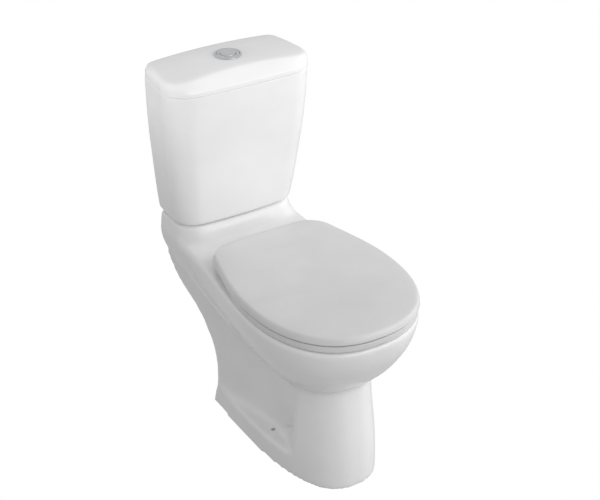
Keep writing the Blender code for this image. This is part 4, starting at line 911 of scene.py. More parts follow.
def bowlWidthAt(y, height):
    width, front, rear = readTable(bowlShares, height / pan["rimHeight"])
    halfWidth = pan["rimHalfWidth"] * width
    if y < -pan["rimWidest"]:
        reach = (-pan["rimWidest"] - y) / (pan["rimFront"] * front - pan["rimWidest"])
        return halfWidth * max(1 - min(reach, 1.0) ** pan["rimPower"], 0.0) ** (1 / pan["rimPower"])
    back = pan["panBack"] * rear
    share = (y + pan["rimWidest"]) / (back + pan["rimWidest"])
    backWidth = min(pan["backHalfWidth"] * blend(width, 1, pan["backWidthShare"]), halfWidth)
    return blend(halfWidth, backWidth, smooth(share))


def hollowWidthAt(y, height):
    # Half width of the casting's inside: the wider of what the bowl and the web leave.
    level = max(height, 0.0)
    wall = pan["wall"]
    halfWidth, front, rear, _ = columnSizes(level)
    inner = columnWidthAt(max(min(y, rear), front), level) - wall
    if y < pan["footWidest"]:
        reach = min((pan["footWidest"] - y) / (pan["footWidest"] - front - wall), 1.0)
        inner = (halfWidth - wall) * (1 - reach ** pan["footPower"]) ** (1 / pan["footPower"])
    if y > -pan["recessEdge"] and level > pan["ledgeHeight"] - wall:
        inner = min(inner, webWidthAt(min(y, rear), max(level, pan["ledgeHeight"])) - wall)
    if level > pan["rimHeight"] * bowlShares[0][0] and y < pan["hollowFront"]:
        inner = max(inner, bowlWidthAt(y - wall, level) - wall)
    return max(inner, 0.0)


def pedestalHollow():
    wall = pan["wall"]
    top = pan["rimHeight"] - pan["channelRoof"] - pan["channelHeight"] - wall
    levels = [-pan["overrun"]] + [pan["ledgeHeight"] - wall * share for share in pan["hollowFloorShares"]]
    levels += list(np.linspace(pan["ledgeHeight"], top, 40))
    back = pan["depth"] / 2 + pan["overrun"]
    rings = []
    for height in levels:
        level = max(height, 0.0)
        tip = columnSizes(level)[1] + wall
        if level > pan["rimHeight"] * bowlShares[0][0]:
            front = readTable(bowlShares, level / pan["rimHeight"])[1]
            tip = min(tip, -pan["rimFront"] * front + wall)
        along = tip + (back - tip) * np.linspace(0, 1, 121) ** 2
        half = np.array([(hollowWidthAt(y, height), y) for y in along])
        half[0, 0] = 0.0
        rings.append(ringOf(spread(half, pan["halfCount"]), height))
    return loft("pedestalHollow", rings)


def openBack(half, width):
    # Runs a half outline out through the back of the pan, past the round of its corner.
    edge = pan["panBack"] - pan["backCorner"]
    half = np.asarray(half)
    path = half[(half[:, 1] < edge) & (half[:, 0] > curves["axisGap"])]
    neck = pan["backHalfWidth"] - pan["backCorner"] - pan["rearWallWidth"] / 2
    out = pan["depth"] / 2 + pan["overrun"]
    return np.concatenate((path, [point(width, edge), point(neck, pan["panBack"]), point(neck, out)]))


def rearHollow():
    roof = pan["rimHeight"] - pan["deckThickness"]
    rings = []
    for share in np.linspace(pan["rearHollowShare"], 1.0, 12):
        width = readTable(bowlShares, roof * share / pan["rimHeight"])[0]
        halfWidth = pan["backHalfWidth"] * blend(width, 1, pan["backWidthShare"]) - pan["rearWallWidth"]
        half = openBack([point(halfWidth, pan["hollowFront"])], halfWidth)
        half = np.concatenate(([point(0, pan["hollowFront"])], half))
        rings.append(ringOf(half, roof * share))
    return loft("rearHollow", rings)


def shelfHollow():
    inset = pan["rearWallWidth"]
    half = shelfHalf(pan["riserTopY"] + inset, inset, 0)
    half = openBack(half, pan["shelfBackHalfWidth"] - inset)
    half = np.concatenate(([point(0, half[0][1])], spread(half, pan["halfCount"])[1:]))
    levels = (pan["rimHeight"] - pan["deckThickness"] * 2, pan["shelfHeight"] - pan["shelfThickness"])
    return loft("shelfHollow", [ringOf(half, height) for height in levels])


def block(name, low, high):
    corners = [(x, y, z) for z in (low[2], high[2]) for y in (low[1], high[1]) for x in (low[0], high[0])]
    faces = [(0, 1, 3, 2), (4, 5, 7, 6), (0, 1, 5, 4), (2, 3, 7, 6), (0, 2, 6, 4), (1, 3, 7, 5)]
    return makeObject(name, corners, faces)


def post(name, radius, low, high, at, count=48):
    return turned(name, ((0, high), (radius, high), (radius, low), (0, low)), None, at, 0, count, 1)


def grooveCutter(side):
    # A tube that dips into the flank and comes out again at both ends.
    backs, heights, depths = np.array(grooveShares).T
    backs, heights = backs * pan["panBack"], heights * pan["rimHeight"]
    sideways = []
    for back, height, depth in zip(backs, heights, depths):
        flank = rimHalf(height / pan["rimHeight"])
        width = np.interp(back, flank[:, 1], flank[:, 0])
        sideways.append(width + pan["grooveRadius"] - pan["grooveDepth"] * depth)
    sideways[0] += pan["grooveRadius"] / 4
    sideways[-1] += pan["grooveRadius"] / 4
    route = np.stack((sideways, backs, heights), axis=1)
    fine = np.linspace(0, 1, 60)
    coarse = np.linspace(0, 1, len(route))
    for _ in range(2):
        route = np.stack([np.interp(fine, coarse, column) for column in route.T], axis=1)
        coarse = fine
        for _ in range(10):
            route[1:-1] = (route[:-2] + route[1:-1] * 2 + route[2:]) / 4
    turns = np.linspace(0, 2 * halfTurn, 24, endpoint=False)
    across = np.array((1.0, 0.0, 0.0))
    rings = []
    for centre, step in zip(route, np.gradient(route, axis=0)):
        forward = unit(step)
        out = unit(across - forward * (across * forward).sum())
        up = np.cross(forward, out)
        ring = centre + pan["grooveRadius"] * (np.outer(np.cos(turns), out) + np.outer(np.sin(turns), up))
        ring[:, 0] *= side
        rings.append(ring)
    return loft(f"grooveCutter{side}", rings)


def ductLevels():
    roof = pan["rimHeight"] - pan["deckThickness"] + pan["ductLift"]
    return roof - pan["ductHeight"], roof


def ductBlock(name, front, wall):
    # The duct from the inlet to the rim channel, or with a wall the china round it.
    low, high = ductLevels()
    half = pan["ductHalfWidth"] + wall
    reach = pan["flushY"] + pan["inletRadius"] + wall
    return block(name, (-half, front, low - wall), (half, reach, high + wall))


def waterwayBodies():
    # The china round basin, duct, inlet and trap.
    wall = pan["wall"]
    duct = ductBlock("ductBody", pan["hollowFront"] - pan["overrun"], wall)
    collarTop = pan["shelfHeight"] - pan["shelfThickness"] + pan["lap"]
    collar = post("inletCollar", pan["inletRadius"] + wall, ductLevels()[0], collarTop, (0, pan["flushY"]))
    route = trapRoute()
    outside = np.full(len(route), pan["trapBore"] + pan["trapWall"])
    outside[-3:] = pan["spigotRadius"]
    outside[-4] = blend(outside[0], pan["spigotRadius"], 0.5)
    return [basin("basinBody", wall), duct, collar, pipeAlong("trapBody", route, outside)]


def waterways():
    # Mouth, inside of the basin, rim channel and duct.
    lip, width = pan["lipThickness"], pan["channelWidth"]
    size = (pan["mouthHalfWidth"], pan["mouthFront"], pan["mouthRear"])
    mouth = [eggRing(*size, pan["rimHeight"] - pan["lipDrop"] - pan["overrun"])]
    for inward, upward in quarter(7):
        mouth.append(eggRing(*size, pan["rimHeight"] - lip * inward, lip / 2 * upward))
    mouth.append(eggRing(*size, pan["rimHeight"] + pan["overrun"], lip / 2))
    top = pan["rimHeight"] - pan["channelRoof"]
    low = top - pan["channelHeight"]
    outer = lip + width
    section = (
        (low, lip),
        (top - lip / 2, lip),
        (top, lip + width / 4),
        (top, outer - width / 4),
        (top - lip / 2, outer),
        (low + lip / 2, outer),
    )
    channel = loft("rimChannel", [eggRing(*size, z, grow) for z, grow in section], closed=True)
    duct = ductBlock("duct", pan["ductFront"], 0)
    return [loft("mouth", mouth), basin("basinInside", 0.0), channel, duct]


def panHoles():
    low, top = pan["rimHeight"] - pan["overrun"], pan["shelfHeight"] + pan["overrun"]
    ductMiddle = ductLevels()[0] + pan["ductHeight"] / 2
    seatRadius, seatFloor = pan["gasketSeatRadius"], pan["shelfHeight"] - pan["gasketSeatDepth"]
    entry, soft = seatRadius + pan["gasketEntry"], pan["gasketSoft"]
    profile = (
        (0, top),
        (entry, top),
        (entry, pan["shelfHeight"] + soft, soft / 2),
        (seatRadius, pan["shelfHeight"] - soft, soft),
        (seatRadius, seatFloor, soft / 2),
        (pan["inletRadius"], seatFloor, soft),
        (pan["inletRadius"], ductMiddle),
        (0, ductMiddle),
    )
    holes = [turned("flushHole", profile, None, (0, pan["flushY"]), radius=0, count=72, steps=4)]
    under, over = low - pan["deckThickness"], pan["rimHeight"] + pan["overrun"]
    floorLow, floorTop = pan["floorHoleLow"], pan["floorHoleTop"]
    for side in (-1, 1):
        boltAt = (side * pan["boltSpacing"] / 2, pan["flushY"])
        hingeAt = (side * pan["hingeSpacing"] / 2, pan["hingeY"])
        floorAt = (side * pan["floorHoleX"], -pan["floorHoleY"])
        holes.append(post(f"boltHole{side}", pan["boltHoleRadius"], low, top, boltAt, count=32))
        holes.append(post(f"hingeHole{side}", pan["studHoleRadius"], under, over, hingeAt, count=32))
        bore = pan["floorHoleRadius"]
        holes.append(post(f"floorHole{side}", bore, floorLow, floorTop, floorAt, count=32))
    holes.append(post("fillPassage", pan["fillPassageRadius"], low, top, (pan["fillX"], pan["fillY"])))
    return holes


def onFloor(places):
    # The edge on the floor stays sharp.
    return (places[:, 2] < pan["floorEdge"]).astype(float)


def makePan():
    levels = np.linspace(0, columnShares[-1][0], 60) * pan["rimHeight"]
    casting = loft("panCasting", [ringOf(spread(columnHalf(z), pan["halfCount"]), z) for z in levels])
    boolean(casting, [recessCutter(1), recessCutter(-1)])
    boolean(casting, [bowlBody(), shelfBody()], "UNION")
    boolean(casting, [grooveCutter(1), grooveCutter(-1)])
    remesh = casting.modifiers.new("remesh", "REMESH")
    remesh.mode = "VOXEL"
    remesh.voxel_size = pan["voxel"]
    relax(applied(casting), onFloor, pan["voxel"])
    print("pan outside", len(casting.data.polygons))
    boolean(casting, [pedestalHollow(), rearHollow(), shelfHollow()])
    boolean(casting, waterwayBodies(), "UNION")
    boolean(casting, waterways())
    route = trapRoute()
    boolean(casting, [pipeAlong("trapInside", route, [pan["trapBore"]] * len(route), pan["overrun"])])
    boolean(casting, panHoles())
    casting.data.materials.clear()
    casting.data.materials.append(finish["glazedChina"])
    sharpen(casting, pan["softAngle"])
    settle(casting, "fixed", "pan")


# Cistern and lid

tank = {
    "base": 0.4356,
    "top": 0.7613,
    "back": 0.3335,
    "wall": 0.009,
    "floor": 0.012,
    "fullness": 0.0064,
    "edge": 0.01302,
    "lipRound": 0.0025,
    "halfWidth": (0.1483, 0.1735),
    "backHalfWidth": (0.1400, 0.1560),
    "frontY": (0.2016, 0.1650),
    "bow": (0.0105, 0.0081),
    "frontCorner": (0.0544, 0.0616),
    "backCorner": (0.0130, 0.0130),
    "tailHoleRadius": 0.0300,
    "shankHoleRadius": 0.0115,
    "halfCount": 100,
}
# height, way from foot to rim, fullness
cisternShares = (
    (0.000, 0.00, 0.00),
    (0.040, 0.05, 0.15),
    (0.200, 0.20, 0.60),
    (0.400, 0.40, 0.84),
    (0.600, 0.60, 1.00),
    (0.800, 0.80, 0.85),
    (1.000, 1.00, 0.35),
)


def tankHalf(share, inset, back=None):
    way, fullness = readTable(cisternShares, share)
    grow = tank["fullness"] * fullness - inset
    values = {key: blend(*tank[key], way) for key in ("halfWidth", "backHalfWidth", "frontY", "bow")}
    half = bowedHalf(
        values["halfWidth"] + grow,
        values["backHalfWidth"] + grow,
        values["frontY"] - grow,
        values["bow"],
        max(blend(*tank["frontCorner"], way) - inset, tank["wall"]),
        max(blend(*tank["backCorner"], way) - inset, tank["wall"]),
        tank["back"] - inset if back is None else back,
    )
    return spread(half, tank["halfCount"])


def makeCistern():
    base, height, edge, lip = tank["base"], tank["top"] - tank["base"], tank["edge"], tank["lipRound"]
    rings = []
    for inward, upward in quarter():
        rings.append(ringOf(tankHalf(upward * edge / height, inward * edge), base + upward * edge))
    for share in np.linspace(edge / height, 1 - lip / height, 46)[1:]:
        rings.append(ringOf(tankHalf(share, 0), base + share * height))
    for inward, upward in quarter(5)[::-1][1:]:
        rings.append(ringOf(tankHalf(1, lip * inward), tank["top"] - lip * upward))
    for inward, upward in quarter(4):
        rings.append(ringOf(tankHalf(1, tank["wall"] - lip / 2 * inward), tank["top"] - lip / 2 * upward))
    low = base + tank["floor"]
    for share in np.linspace(1 - lip / height, (low + edge - base) / height, 30)[1:]:
        rings.append(ringOf(tankHalf(share, tank["wall"]), base + share * height))
    for inward, upward in quarter()[::-1][1:]:
        share = (low + upward * edge - base) / height
        rings.append(ringOf(tankHalf(share, tank["wall"] + inward * edge), low + upward * edge))
    vessel = loft("cisternTank", rings, "glazedChina")
    under, over = base - pan["overrun"], low + pan["overrun"]
    holes = [post("tailHole", tank["tailHoleRadius"], under, over, (0, pan["flushY"]))]
    for side in (-1, 1):
        at = (side * pan["boltSpacing"] / 2, pan["flushY"])
        holes.append(post(f"tankBolt{side}", pan["boltHoleRadius"], under, over, at))
    holes.append(post("shankHole", tank["shankHoleRadius"], under, over, (pan["fillX"], pan["fillY"])))
    boolean(vessel, holes)
    sharpen(vessel)
    settle(vessel, "fixed", "cistern")


lid = {
    "base": 0.7616,
    "height": 0.0405,
    "halfWidth": 0.1775,
    "backHalfWidth": 0.1597,
    "frontY": 0.1612,
    "bow": 0.0081,
    "frontCorner": 0.0653,
    "backCorner": 0.0240,
    "back": 0.335,
    "slope": 0.027,
    "slopeReach": 0.155,
    "edge": 0.009,
    "wall": 0.008,
    "roof": 0.0115,
    "lipDrop": 0.009,
    "lipWidth": 0.006,
    "lipClearance": 0.0025,
    "crown": 0.0095,
    "backFall": 0.005,
    "buttonY": 0.248,
    "holeRadius": 0.0275,
    "centreY": 0.255,
    "centreShare": 0.03,
    "rebate": 0.003,
    "lipSoft": 0.002,
    "softAngle": 50,
}
# height, inset of the front slope and inset of the rounded edge
lidShares = (
    (0.000, 0.06, 0.25),
    (0.015, 0.02, 0.08),
    (0.040, 0.00, 0.00),
    (0.230, 0.00, 0.00),
    (0.300, 0.06, 0.01),
    (0.450, 0.25, 0.04),
    (0.600, 0.47, 0.12),
    (0.740, 0.68, 0.28),
    (0.850, 0.86, 0.55),
    (0.915, 1.00, 0.95),
    (0.950, 1.25, 1.60),
    (0.975, 1.70, 2.80),
    (1.000, 3.00, 6.00),
)
# inside, just above the lip: how far in, in lip widths, and how far above the base, in walls
lidFootShares = ((1.0, 0.60), (0.0, 1.10))
# inside, at the ceiling: how far in and how far down, in walls
lidCeilingShares = ((0.0, 1.50), (0.3, 1.05), (1.0, 0.65), (2.0, 0.20), (3.0, 0.00))


def lidHalf(share):
    # The front slope is widest in the middle and dies out towards both ends.
    slope, edge = readTable(lidShares, share)
    inset = edge * lid["edge"]
    half = bowedHalf(
        lid["halfWidth"] - inset,
        lid["backHalfWidth"] - inset,
        lid["frontY"] + inset,
        lid["bow"],
        max(lid["frontCorner"] - inset, lid["wall"]),
        max(lid["backCorner"] - inset, lid["wall"]),
        lid["back"] - inset,
    )
    half = spread(half, tank["halfCount"])
    lens = np.maximum(1 - (half[:, 0] / lid["slopeReach"]) ** 2, 0)
    front = smooth((lid["back"] - inset - half[:, 1]) / (lid["back"] - lid["frontY"] - inset * 2))
    half[:, 1] += max(slope * lid["slope"] - inset, 0) * lens * front
    return half


def crowned(half, level, share):
    ring = ringOf(half, level)
    across = (ring[:, 0] / lid["halfWidth"]) ** 2
    behind = np.maximum((ring[:, 1] - lid["buttonY"]) / (lid["back"] - lid["buttonY"]), 0) ** 2
    ring[:, 2] -= smooth(share) * (lid["crown"] * across + lid["backFall"] * behind)
    return ring


def lidInside():
    # How far in from the tank's own inside, and at what height.
    base, wall, lip = lid["base"], lid["wall"], lid["lipWidth"]
    low, ceiling = base - lid["lipDrop"], base + lid["height"] - lid["roof"]
    rows = [(-lid["rebate"], base), (0, base), (0, base - lid["lipSoft"]), (0, low + lip / 4)]
    rows += [(lip / 4, low), (lip * 0.75, low), (lip, low + lip / 4)]
    (edge, first), (root, second) = lidFootShares
    rows += [(lip * edge, base + wall * first), (lip * root, base + wall * second)]
    rows += [(wall * inward, ceiling - wall * down) for inward, down in lidCeilingShares]
    return rows


def makeLid():
    top = lid["base"] + lid["height"]
    topHalf = lidHalf(1)
    centre = point(0, lid["centreY"])
    rings = []
    for size in np.linspace(lid["centreShare"], 1, 14):
        rings.append(crowned(centre + (topHalf - centre) * size, top, 1.0))
    for share in np.linspace(1, 0, 60)[1:]:
        rings.append(crowned(lidHalf(share), lid["base"] + lid["height"] * share, share))
    inner = tank["wall"] + lid["lipClearance"]
    for inset, level in lidInside():
        rings.append(ringOf(tankHalf(1, inner + inset), level))
    casting = loft("cisternLid", rings, "glazedChina", angle=lid["softAngle"])
    over, at = top + pan["overrun"], (0, lid["buttonY"])
    boolean(casting, [post("bezelHole", lid["holeRadius"], lid["base"], over, at, count=72)])
    sharpen(casting, lid["softAngle"])
    settle(casting, "lid", "cistern_lid")


# Flush buttons

button = {
    "top": 0.8049,
    "flangeLow": 0.8024,
    "bezelRadius": 0.0295,
    "bezelBore": 0.0250,
    "bodyRadius": 0.0270,
    "depth": 0.022,
    "floor": 0.002,
    "fullOuter": 0.0246,
    "fullInner": 0.0172,
    "halfRise": 0.0022,
    "thickness": 0.005,
    "rodY": 0.240,
    "rodX": (0.0195, -0.007),
    "rodHole": 0.0029,
    "soft": 0.0003,
    "round": 0.0008,
    "fine": 0.0006,
    "hair": 0.0002,
    "bezelSlope": (0.0016, 0.0014),
    "fullSlope": (0.0008, 0.0010),
    "dish": 0.0012,
    "halfTop": (
        (0.0, 0.0006, 0.0),
        (0.00581, 0.0005, 0.0010),
        (0.010292, 0.0001, 0.0020),
        (0.0152, 0.0004, 0.0012),
        (0.0166, 0.0020, 0.0010),
    ),
}


def chromed(name, profile, steps=3):
    at = (0, lid["buttonY"])
    return turned(name, profile, "chrome", at, button["soft"], count=96, steps=steps)


def makeButtons():
    top, low = button["top"], button["top"] - button["thickness"]
    floorLow = top - button["depth"]
    floorTop = floorLow + button["floor"]
    inward, down = button["bezelSlope"]
    profile = (
        (button["bezelBore"], top, button["fine"]),
        (button["bezelRadius"] - inward, top, button["round"]),
        (button["bezelRadius"], top - down, button["round"]),
        (button["bezelRadius"], button["flangeLow"], button["hair"]),
        (button["bodyRadius"], button["flangeLow"]),
        (button["bodyRadius"], floorLow),
        (0, floorLow),
        (0, floorTop),
        (button["bezelBore"], floorTop),
    )
    bezel = chromed("buttonBezel", profile)
    under, over = floorLow - pan["overrun"], floorLow + pan["overrun"]
    holes = []
    for x in button["rodX"]:
        holes.append(post(f"rodHole{x}", button["rodHole"], under, over, (x, button["rodY"]), count=24))
    boolean(bezel, holes)
    sharpen(bezel)
    settle(bezel, "lid", "button_bezel")
    inward, down = button["fullSlope"]
    profile = (
        (button["fullOuter"] - inward, top, button["fine"]),
        (button["fullOuter"], top - down, button["fine"]),
        (button["fullOuter"], low),
        (button["fullInner"], low),
        (button["fullInner"], top - button["dish"], button["fine"]),
        (button["fullInner"] + button["dish"], top, button["round"]),
    )
    settle(chromed("fullButton", profile), "full_flush", "full_button")
    halfTop = top + button["halfRise"]
    profile = [(reach, halfTop - drop, soft) for reach, drop, soft in button["halfTop"]]
    profile += [(profile[-1][0], low), (0, low)]
    settle(chromed("halfButton", profile, steps=5), "half_flush", "half_button")


# Seat, cover and hinges

seat = {
    "wallY": 0.335,
    "coverHalfWidth": 0.1775,
    "coverWidest": 0.1097,
    "coverRear": 0.12175,
    "coverRearHalfWidth": 0.13655,
    "coverRearCorner": 0.0467,
    "coverRearBow": 0.00555,
    "coverPower": 2.36,
    "edgeHeight": 0.0144,
    "edgeInset": 0.00485,
    "dome": 0.0055,
    "shell": 0.006,
    "coverBase": 0.4216,
    "seatBase": 0.4025,
    "thickness": 0.015,
    "seatInset": 0.0022,
    "seatRear": 0.094,
    "recess": 0.006,
    "holeHalfWidth": 0.112,
    "holeFront": 0.262,
    "holeRear": 0.035,
    "rimWidth": 0.008,
    "hingeZ": 0.4145,
    "pinRadius": 0.003,
    "knuckleRadius": 0.0065,
    "knuckleWidth": 0.015,
    "postWidth": 0.016,
    "postHalfDepth": 0.005,
    "studRadius": 0.004,
    "studLength": 0.044,
    "runningGap": 0.0004,
    "knuckleSoft": 0.0004,
    "holeEdgeShare": 1.5,
    "topDish": 0.0018,
    "rimSoft": 0.0012,
    "rimDraft": (0.0006, 0.0010),
    "lugShare": 0.8,
    "lugGap": 0.0003,
    "coverLip": 0.001,
    "coverWallShare": 1.02,
    "coverSideShares": (0.351, 0.695, 0.305),
    "domeStartShare": 0.985,
    "domePower": 1.15,
    "halfCount": 100,
}
# height and inset of the seat ring's edges
seatEdgeShares = (
    (0.00, 0.20),
    (0.10, 0.05),
    (0.27, 0.00),
    (0.84, 0.00),
    (0.95, 0.04),
    (1.00, 0.12),
)
# height and inset of the cover's edge
coverEdgeShares = (
    (0.00, 0.10),
    (0.06, 0.00),
    (0.70, 0.37),
    (0.90, 0.70),
    (1.00, 1.00),
)
# the cover's inside, in shells: how far in, and how far below the roof
coverInsideShares = ((1.1, 1 / 3), (1.3, 1 / 12), (1.6, 0.0))
# way in from the edge and height of the dome
domeShares = (
    (0.00, 0.00),
    (0.07, 0.25),
    (0.20, 0.50),
    (0.40, 0.76),
    (0.65, 0.95),
    (1.00, 1.00),
)


def coverHalf(inset, rear):
    halfWidth = seat["coverHalfWidth"] - inset
    rearWidth = seat["coverRearHalfWidth"] - inset
    back = rear - inset
    corner = point(rearWidth, back - seat["coverRearBow"])
    length = corner[1] + seat["coverWidest"]
    first, second, inward = seat["coverSideShares"]
    side = bezierCurve(
        point(halfWidth, -seat["coverWidest"]),
        point(halfWidth, -seat["coverWidest"] + first * length),
        point(blend(rearWidth, halfWidth, inward), -seat["coverWidest"] + second * length),
        corner,
    )
    share = np.linspace(1, 0, 41)
    rearArc = np.stack((rearWidth * share, back - seat["coverRearBow"] * share * share), axis=1)
    side = trimmed(side[1:], corner, seat["coverRearCorner"] - inset)
    rearArc = trimmed(rearArc, corner, seat["coverRearCorner"] - inset)
    around = cornerCurve(side[-1], corner, rearArc[0])
    front = nose(halfWidth, inset - seat["wallY"], -seat["coverWidest"], seat["coverPower"])
    return spread(np.concatenate((front, side, around[1:-1], rearArc)), seat["halfCount"])


def seatHoleHalf(outset):
    half = eggHalf(seat["holeHalfWidth"], seat["holeFront"], seat["holeRear"], pan["basinPower"], outset)
    return spread(half, seat["halfCount"])


def knuckle(name, lowX, radius, width):
    profile = ((0, width), (radius, width), (radius, 0), (0, 0))
    place = (lowX, pan["hingeY"], seat["hingeZ"])
    return turned(name, profile, None, radius=seat["knuckleSoft"], count=40, steps=2, along=place)


def knuckleLow(side, outward):
    offset = seat["postWidth"] / 2 + seat["runningGap"] * 2 + seat["knuckleWidth"] / 2
    return side * (pan["hingeSpacing"] / 2 + outward * offset) - seat["knuckleWidth"] / 2


def boreKnuckles(body, outward):
    bores = []
    radius, width = seat["pinRadius"] + seat["runningGap"], seat["knuckleWidth"] + pan["overrun"] * 2
    for side in (-1, 1):
        bores.append(knuckle(f"bore{side}", knuckleLow(side, outward) - pan["overrun"], radius, width))
    return boolean(body, bores)


def seatOuter(inset):
    return coverHalf(seat["seatInset"] + inset, seat["seatRear"])


def seatRings():
    # Up the outside, over the top, down the hole, and back along the hollow underneath.
    base, thick, rim, dish = seat["seatBase"], seat["thickness"], seat["rimWidth"], seat["topDish"]
    rings = []
    for share in np.linspace(0, 1, 18):
        inset = thick * readTable(seatEdgeShares, share)[0]
        rings.append(ringOf(seatOuter(inset), base + thick * share))
    edge = thick * seatEdgeShares[-1][1]
    outer, inner = seatOuter(edge), seatHoleHalf(edge * seat["holeEdgeShare"])
    for share in np.linspace(0, 1, 10)[1:-1]:
        rings.append(ringOf(blend(outer, inner, share), base + thick - dish * share * share))
    for share in np.linspace(1, 0, 18):
        inset = thick * readTable(seatEdgeShares, share)[0] * seat["holeEdgeShare"]
        rings.append(ringOf(seatHoleHalf(inset), base + thick * share - dish * share))
    soft, roof = base + seat["rimSoft"], base + seat["recess"]
    less, more = seat["rimDraft"]
    rings.append(ringOf(seatHoleHalf(rim), base))
    rings.append(ringOf(seatHoleHalf(rim + less), soft))
    rings.append(ringOf(seatHoleHalf(rim + more), roof))
    rings.append(ringOf(blend(seatHoleHalf(rim), seatOuter(rim), 0.5), roof))
    rings.append(ringOf(seatOuter(rim + more), roof))
    rings.append(ringOf(seatOuter(rim + less), soft))
    rings.append(ringOf(seatOuter(rim), base))
    return rings


def makeSeatRing():
    seatTop = seat["seatBase"] + seat["thickness"]
    radius, width = seat["knuckleRadius"], seat["knuckleWidth"]
    ring = loft("seatRing", seatRings(), "mouldedSeat", closed=True)
    for side in (-1, 1):
        low = knuckleLow(side, -1)
        lug = block(
            f"lug{side}",
            (low, seat["seatRear"] - seat["rimWidth"], seat["hingeZ"] - radius * seat["lugShare"]),
            (low + width, pan["hingeY"], seatTop - seat["lugGap"]),
        )
        boolean(ring, [lug, knuckle(f"seatKnuckle{side}", low, radius, width)], "UNION")
    boreKnuckles(ring, -1)
    sharpen(ring)
    settle(ring, "seat", "seat_ring")


def coverRings():
    # Over the dome, down the edge, and up into the hollow underneath.
    base, edge, shell = seat["coverBase"], seat["edgeHeight"], seat["shell"]
    top = coverHalf(seat["edgeInset"], seat["coverRear"])
    centre = point(0, (seat["coverRear"] - seat["wallY"]) / 2)
    rings = []
    for inward in np.linspace(seat["domeStartShare"], 0, 26) ** seat["domePower"]:
        level = base + edge + seat["dome"] * readTable(domeShares, inward)[0]
        rings.append(ringOf(centre + (top - centre) * (1 - inward), level))
    for share in np.linspace(1, 0, 22)[1:]:
        inset = seat["edgeInset"] * readTable(coverEdgeShares, share)[0]
        rings.append(ringOf(coverHalf(inset, seat["coverRear"]), base + edge * share))
    roof = base + edge - shell
    inside = [(shell - seat["coverLip"], base), (shell, base + seat["coverLip"])]
    inside += [(shell * seat["coverWallShare"], base + shell / 2)]
    inside += [(shell * inward, roof - shell * down) for inward, down in coverInsideShares]
    for inset, level in inside:
        rings.append(ringOf(coverHalf(inset, seat["coverRear"]), level))
    return rings


def makeCover():
    radius, width = seat["knuckleRadius"], seat["knuckleWidth"]
    reach = radius * seat["lugShare"]
    ribTop = seat["coverBase"] + seat["edgeHeight"] - seat["shell"] + seat["shell"] / 3
    cover = loft("seatCover", coverRings(), "mouldedSeat")
    for side in (-1, 1):
        low = knuckleLow(side, 1)
        nearCorner = (low, pan["hingeY"] - reach, seat["hingeZ"])
        rib = block(f"rib{side}", nearCorner, (low + width, pan["hingeY"] + reach, ribTop))
        boolean(cover, [rib, knuckle(f"coverKnuckle{side}", low, radius, width)], "UNION")
    boreKnuckles(cover, 1)
    sharpen(cover)
    settle(cover, "cover", "seat_cover")


# Small pieces: ways to make them

small = {
    "gap": 0.0003,
    "overrun": 0.010,
    "soft": 0.0005,
    "threadHeight": 0.0007,
    "threadPitch": 0.0022,
}


def discProfile(radius, low, high, bore=0.0):
    return ((bore, high), (radius, high), (radius, low), (bore, low))


def grown(outline, amount):
    # Moves a closed outline outwards, or inwards with a negative amount.
    outline = np.asarray(outline, float)
    along = np.roll(outline, -1, axis=0) - np.roll(outline, 1, axis=0)
    normal = np.stack((along[:, 1], -along[:, 0]), axis=1)
    return outline + normal / np.linalg.norm(normal, axis=1, keepdims=True) * amount


def roundedBox(low, high, radius):
    (left, bottom), (right, top) = low, high
    corners = [point(left, bottom), point(right, bottom), point(right, top), point(left, top)]
    return np.array(roundedCorners(corners, [radius] * 4))


def extruded(name, outline, low, high, edge, axis, material=None):
    # Pushes an outline that runs anticlockwise along an axis, with rounded rims.
    order = {0: (2, 0, 1), 1: (0, 2, 1), 2: (0, 1, 2)}[axis]
    levels = [(low + upward * edge, inward * edge) for inward, upward in quarter(4)]
    levels += [(high - upward * edge, inward * edge) for inward, upward in quarter(4)[::-1]]
    rings = []
    for level, inset in levels:
        ring = np.column_stack((grown(outline, -inset), np.full(len(outline), level)))
        rings.append(ring[:, order])
    return loft(name, rings, material)


def flutedNut(name, size, at, material):
    # A ring nut with flutes for the fingers round its outside.
    count = size["ribs"] * 12
    angles = np.arange(count) * 2 * halfTurn / count
    flute = size["flute"] * (0.5 - 0.5 * np.cos(angles * size["ribs"])) ** 2
    soft, edge = small["soft"], size["edge"]
    radius, bore, low, high = size["radius"], size["bore"], size["low"], size["high"]
    section = (
        (bore, high - soft, 0),
        (bore, low + soft, 0),
        (bore + soft, low, 0),
        (radius - size["flute"] - edge, low, 0),
        (radius - edge, low + edge / 4, 1),
        (radius, low + edge, 1),
        (radius, high - edge, 1),
        (radius - edge, high - edge / 4, 1),
        (radius - size["flute"] - edge, high, 0),
        (bore + soft, high, 0),
    )
    rings = []
    for reach, level, share in section:
        reach = reach - flute * share
        ring = (at[0] + reach * np.cos(angles), at[1] + reach * np.sin(angles), np.full(count, level))
        rings.append(np.stack(ring, axis=1))
    return loft(name, rings, material, closed=True)


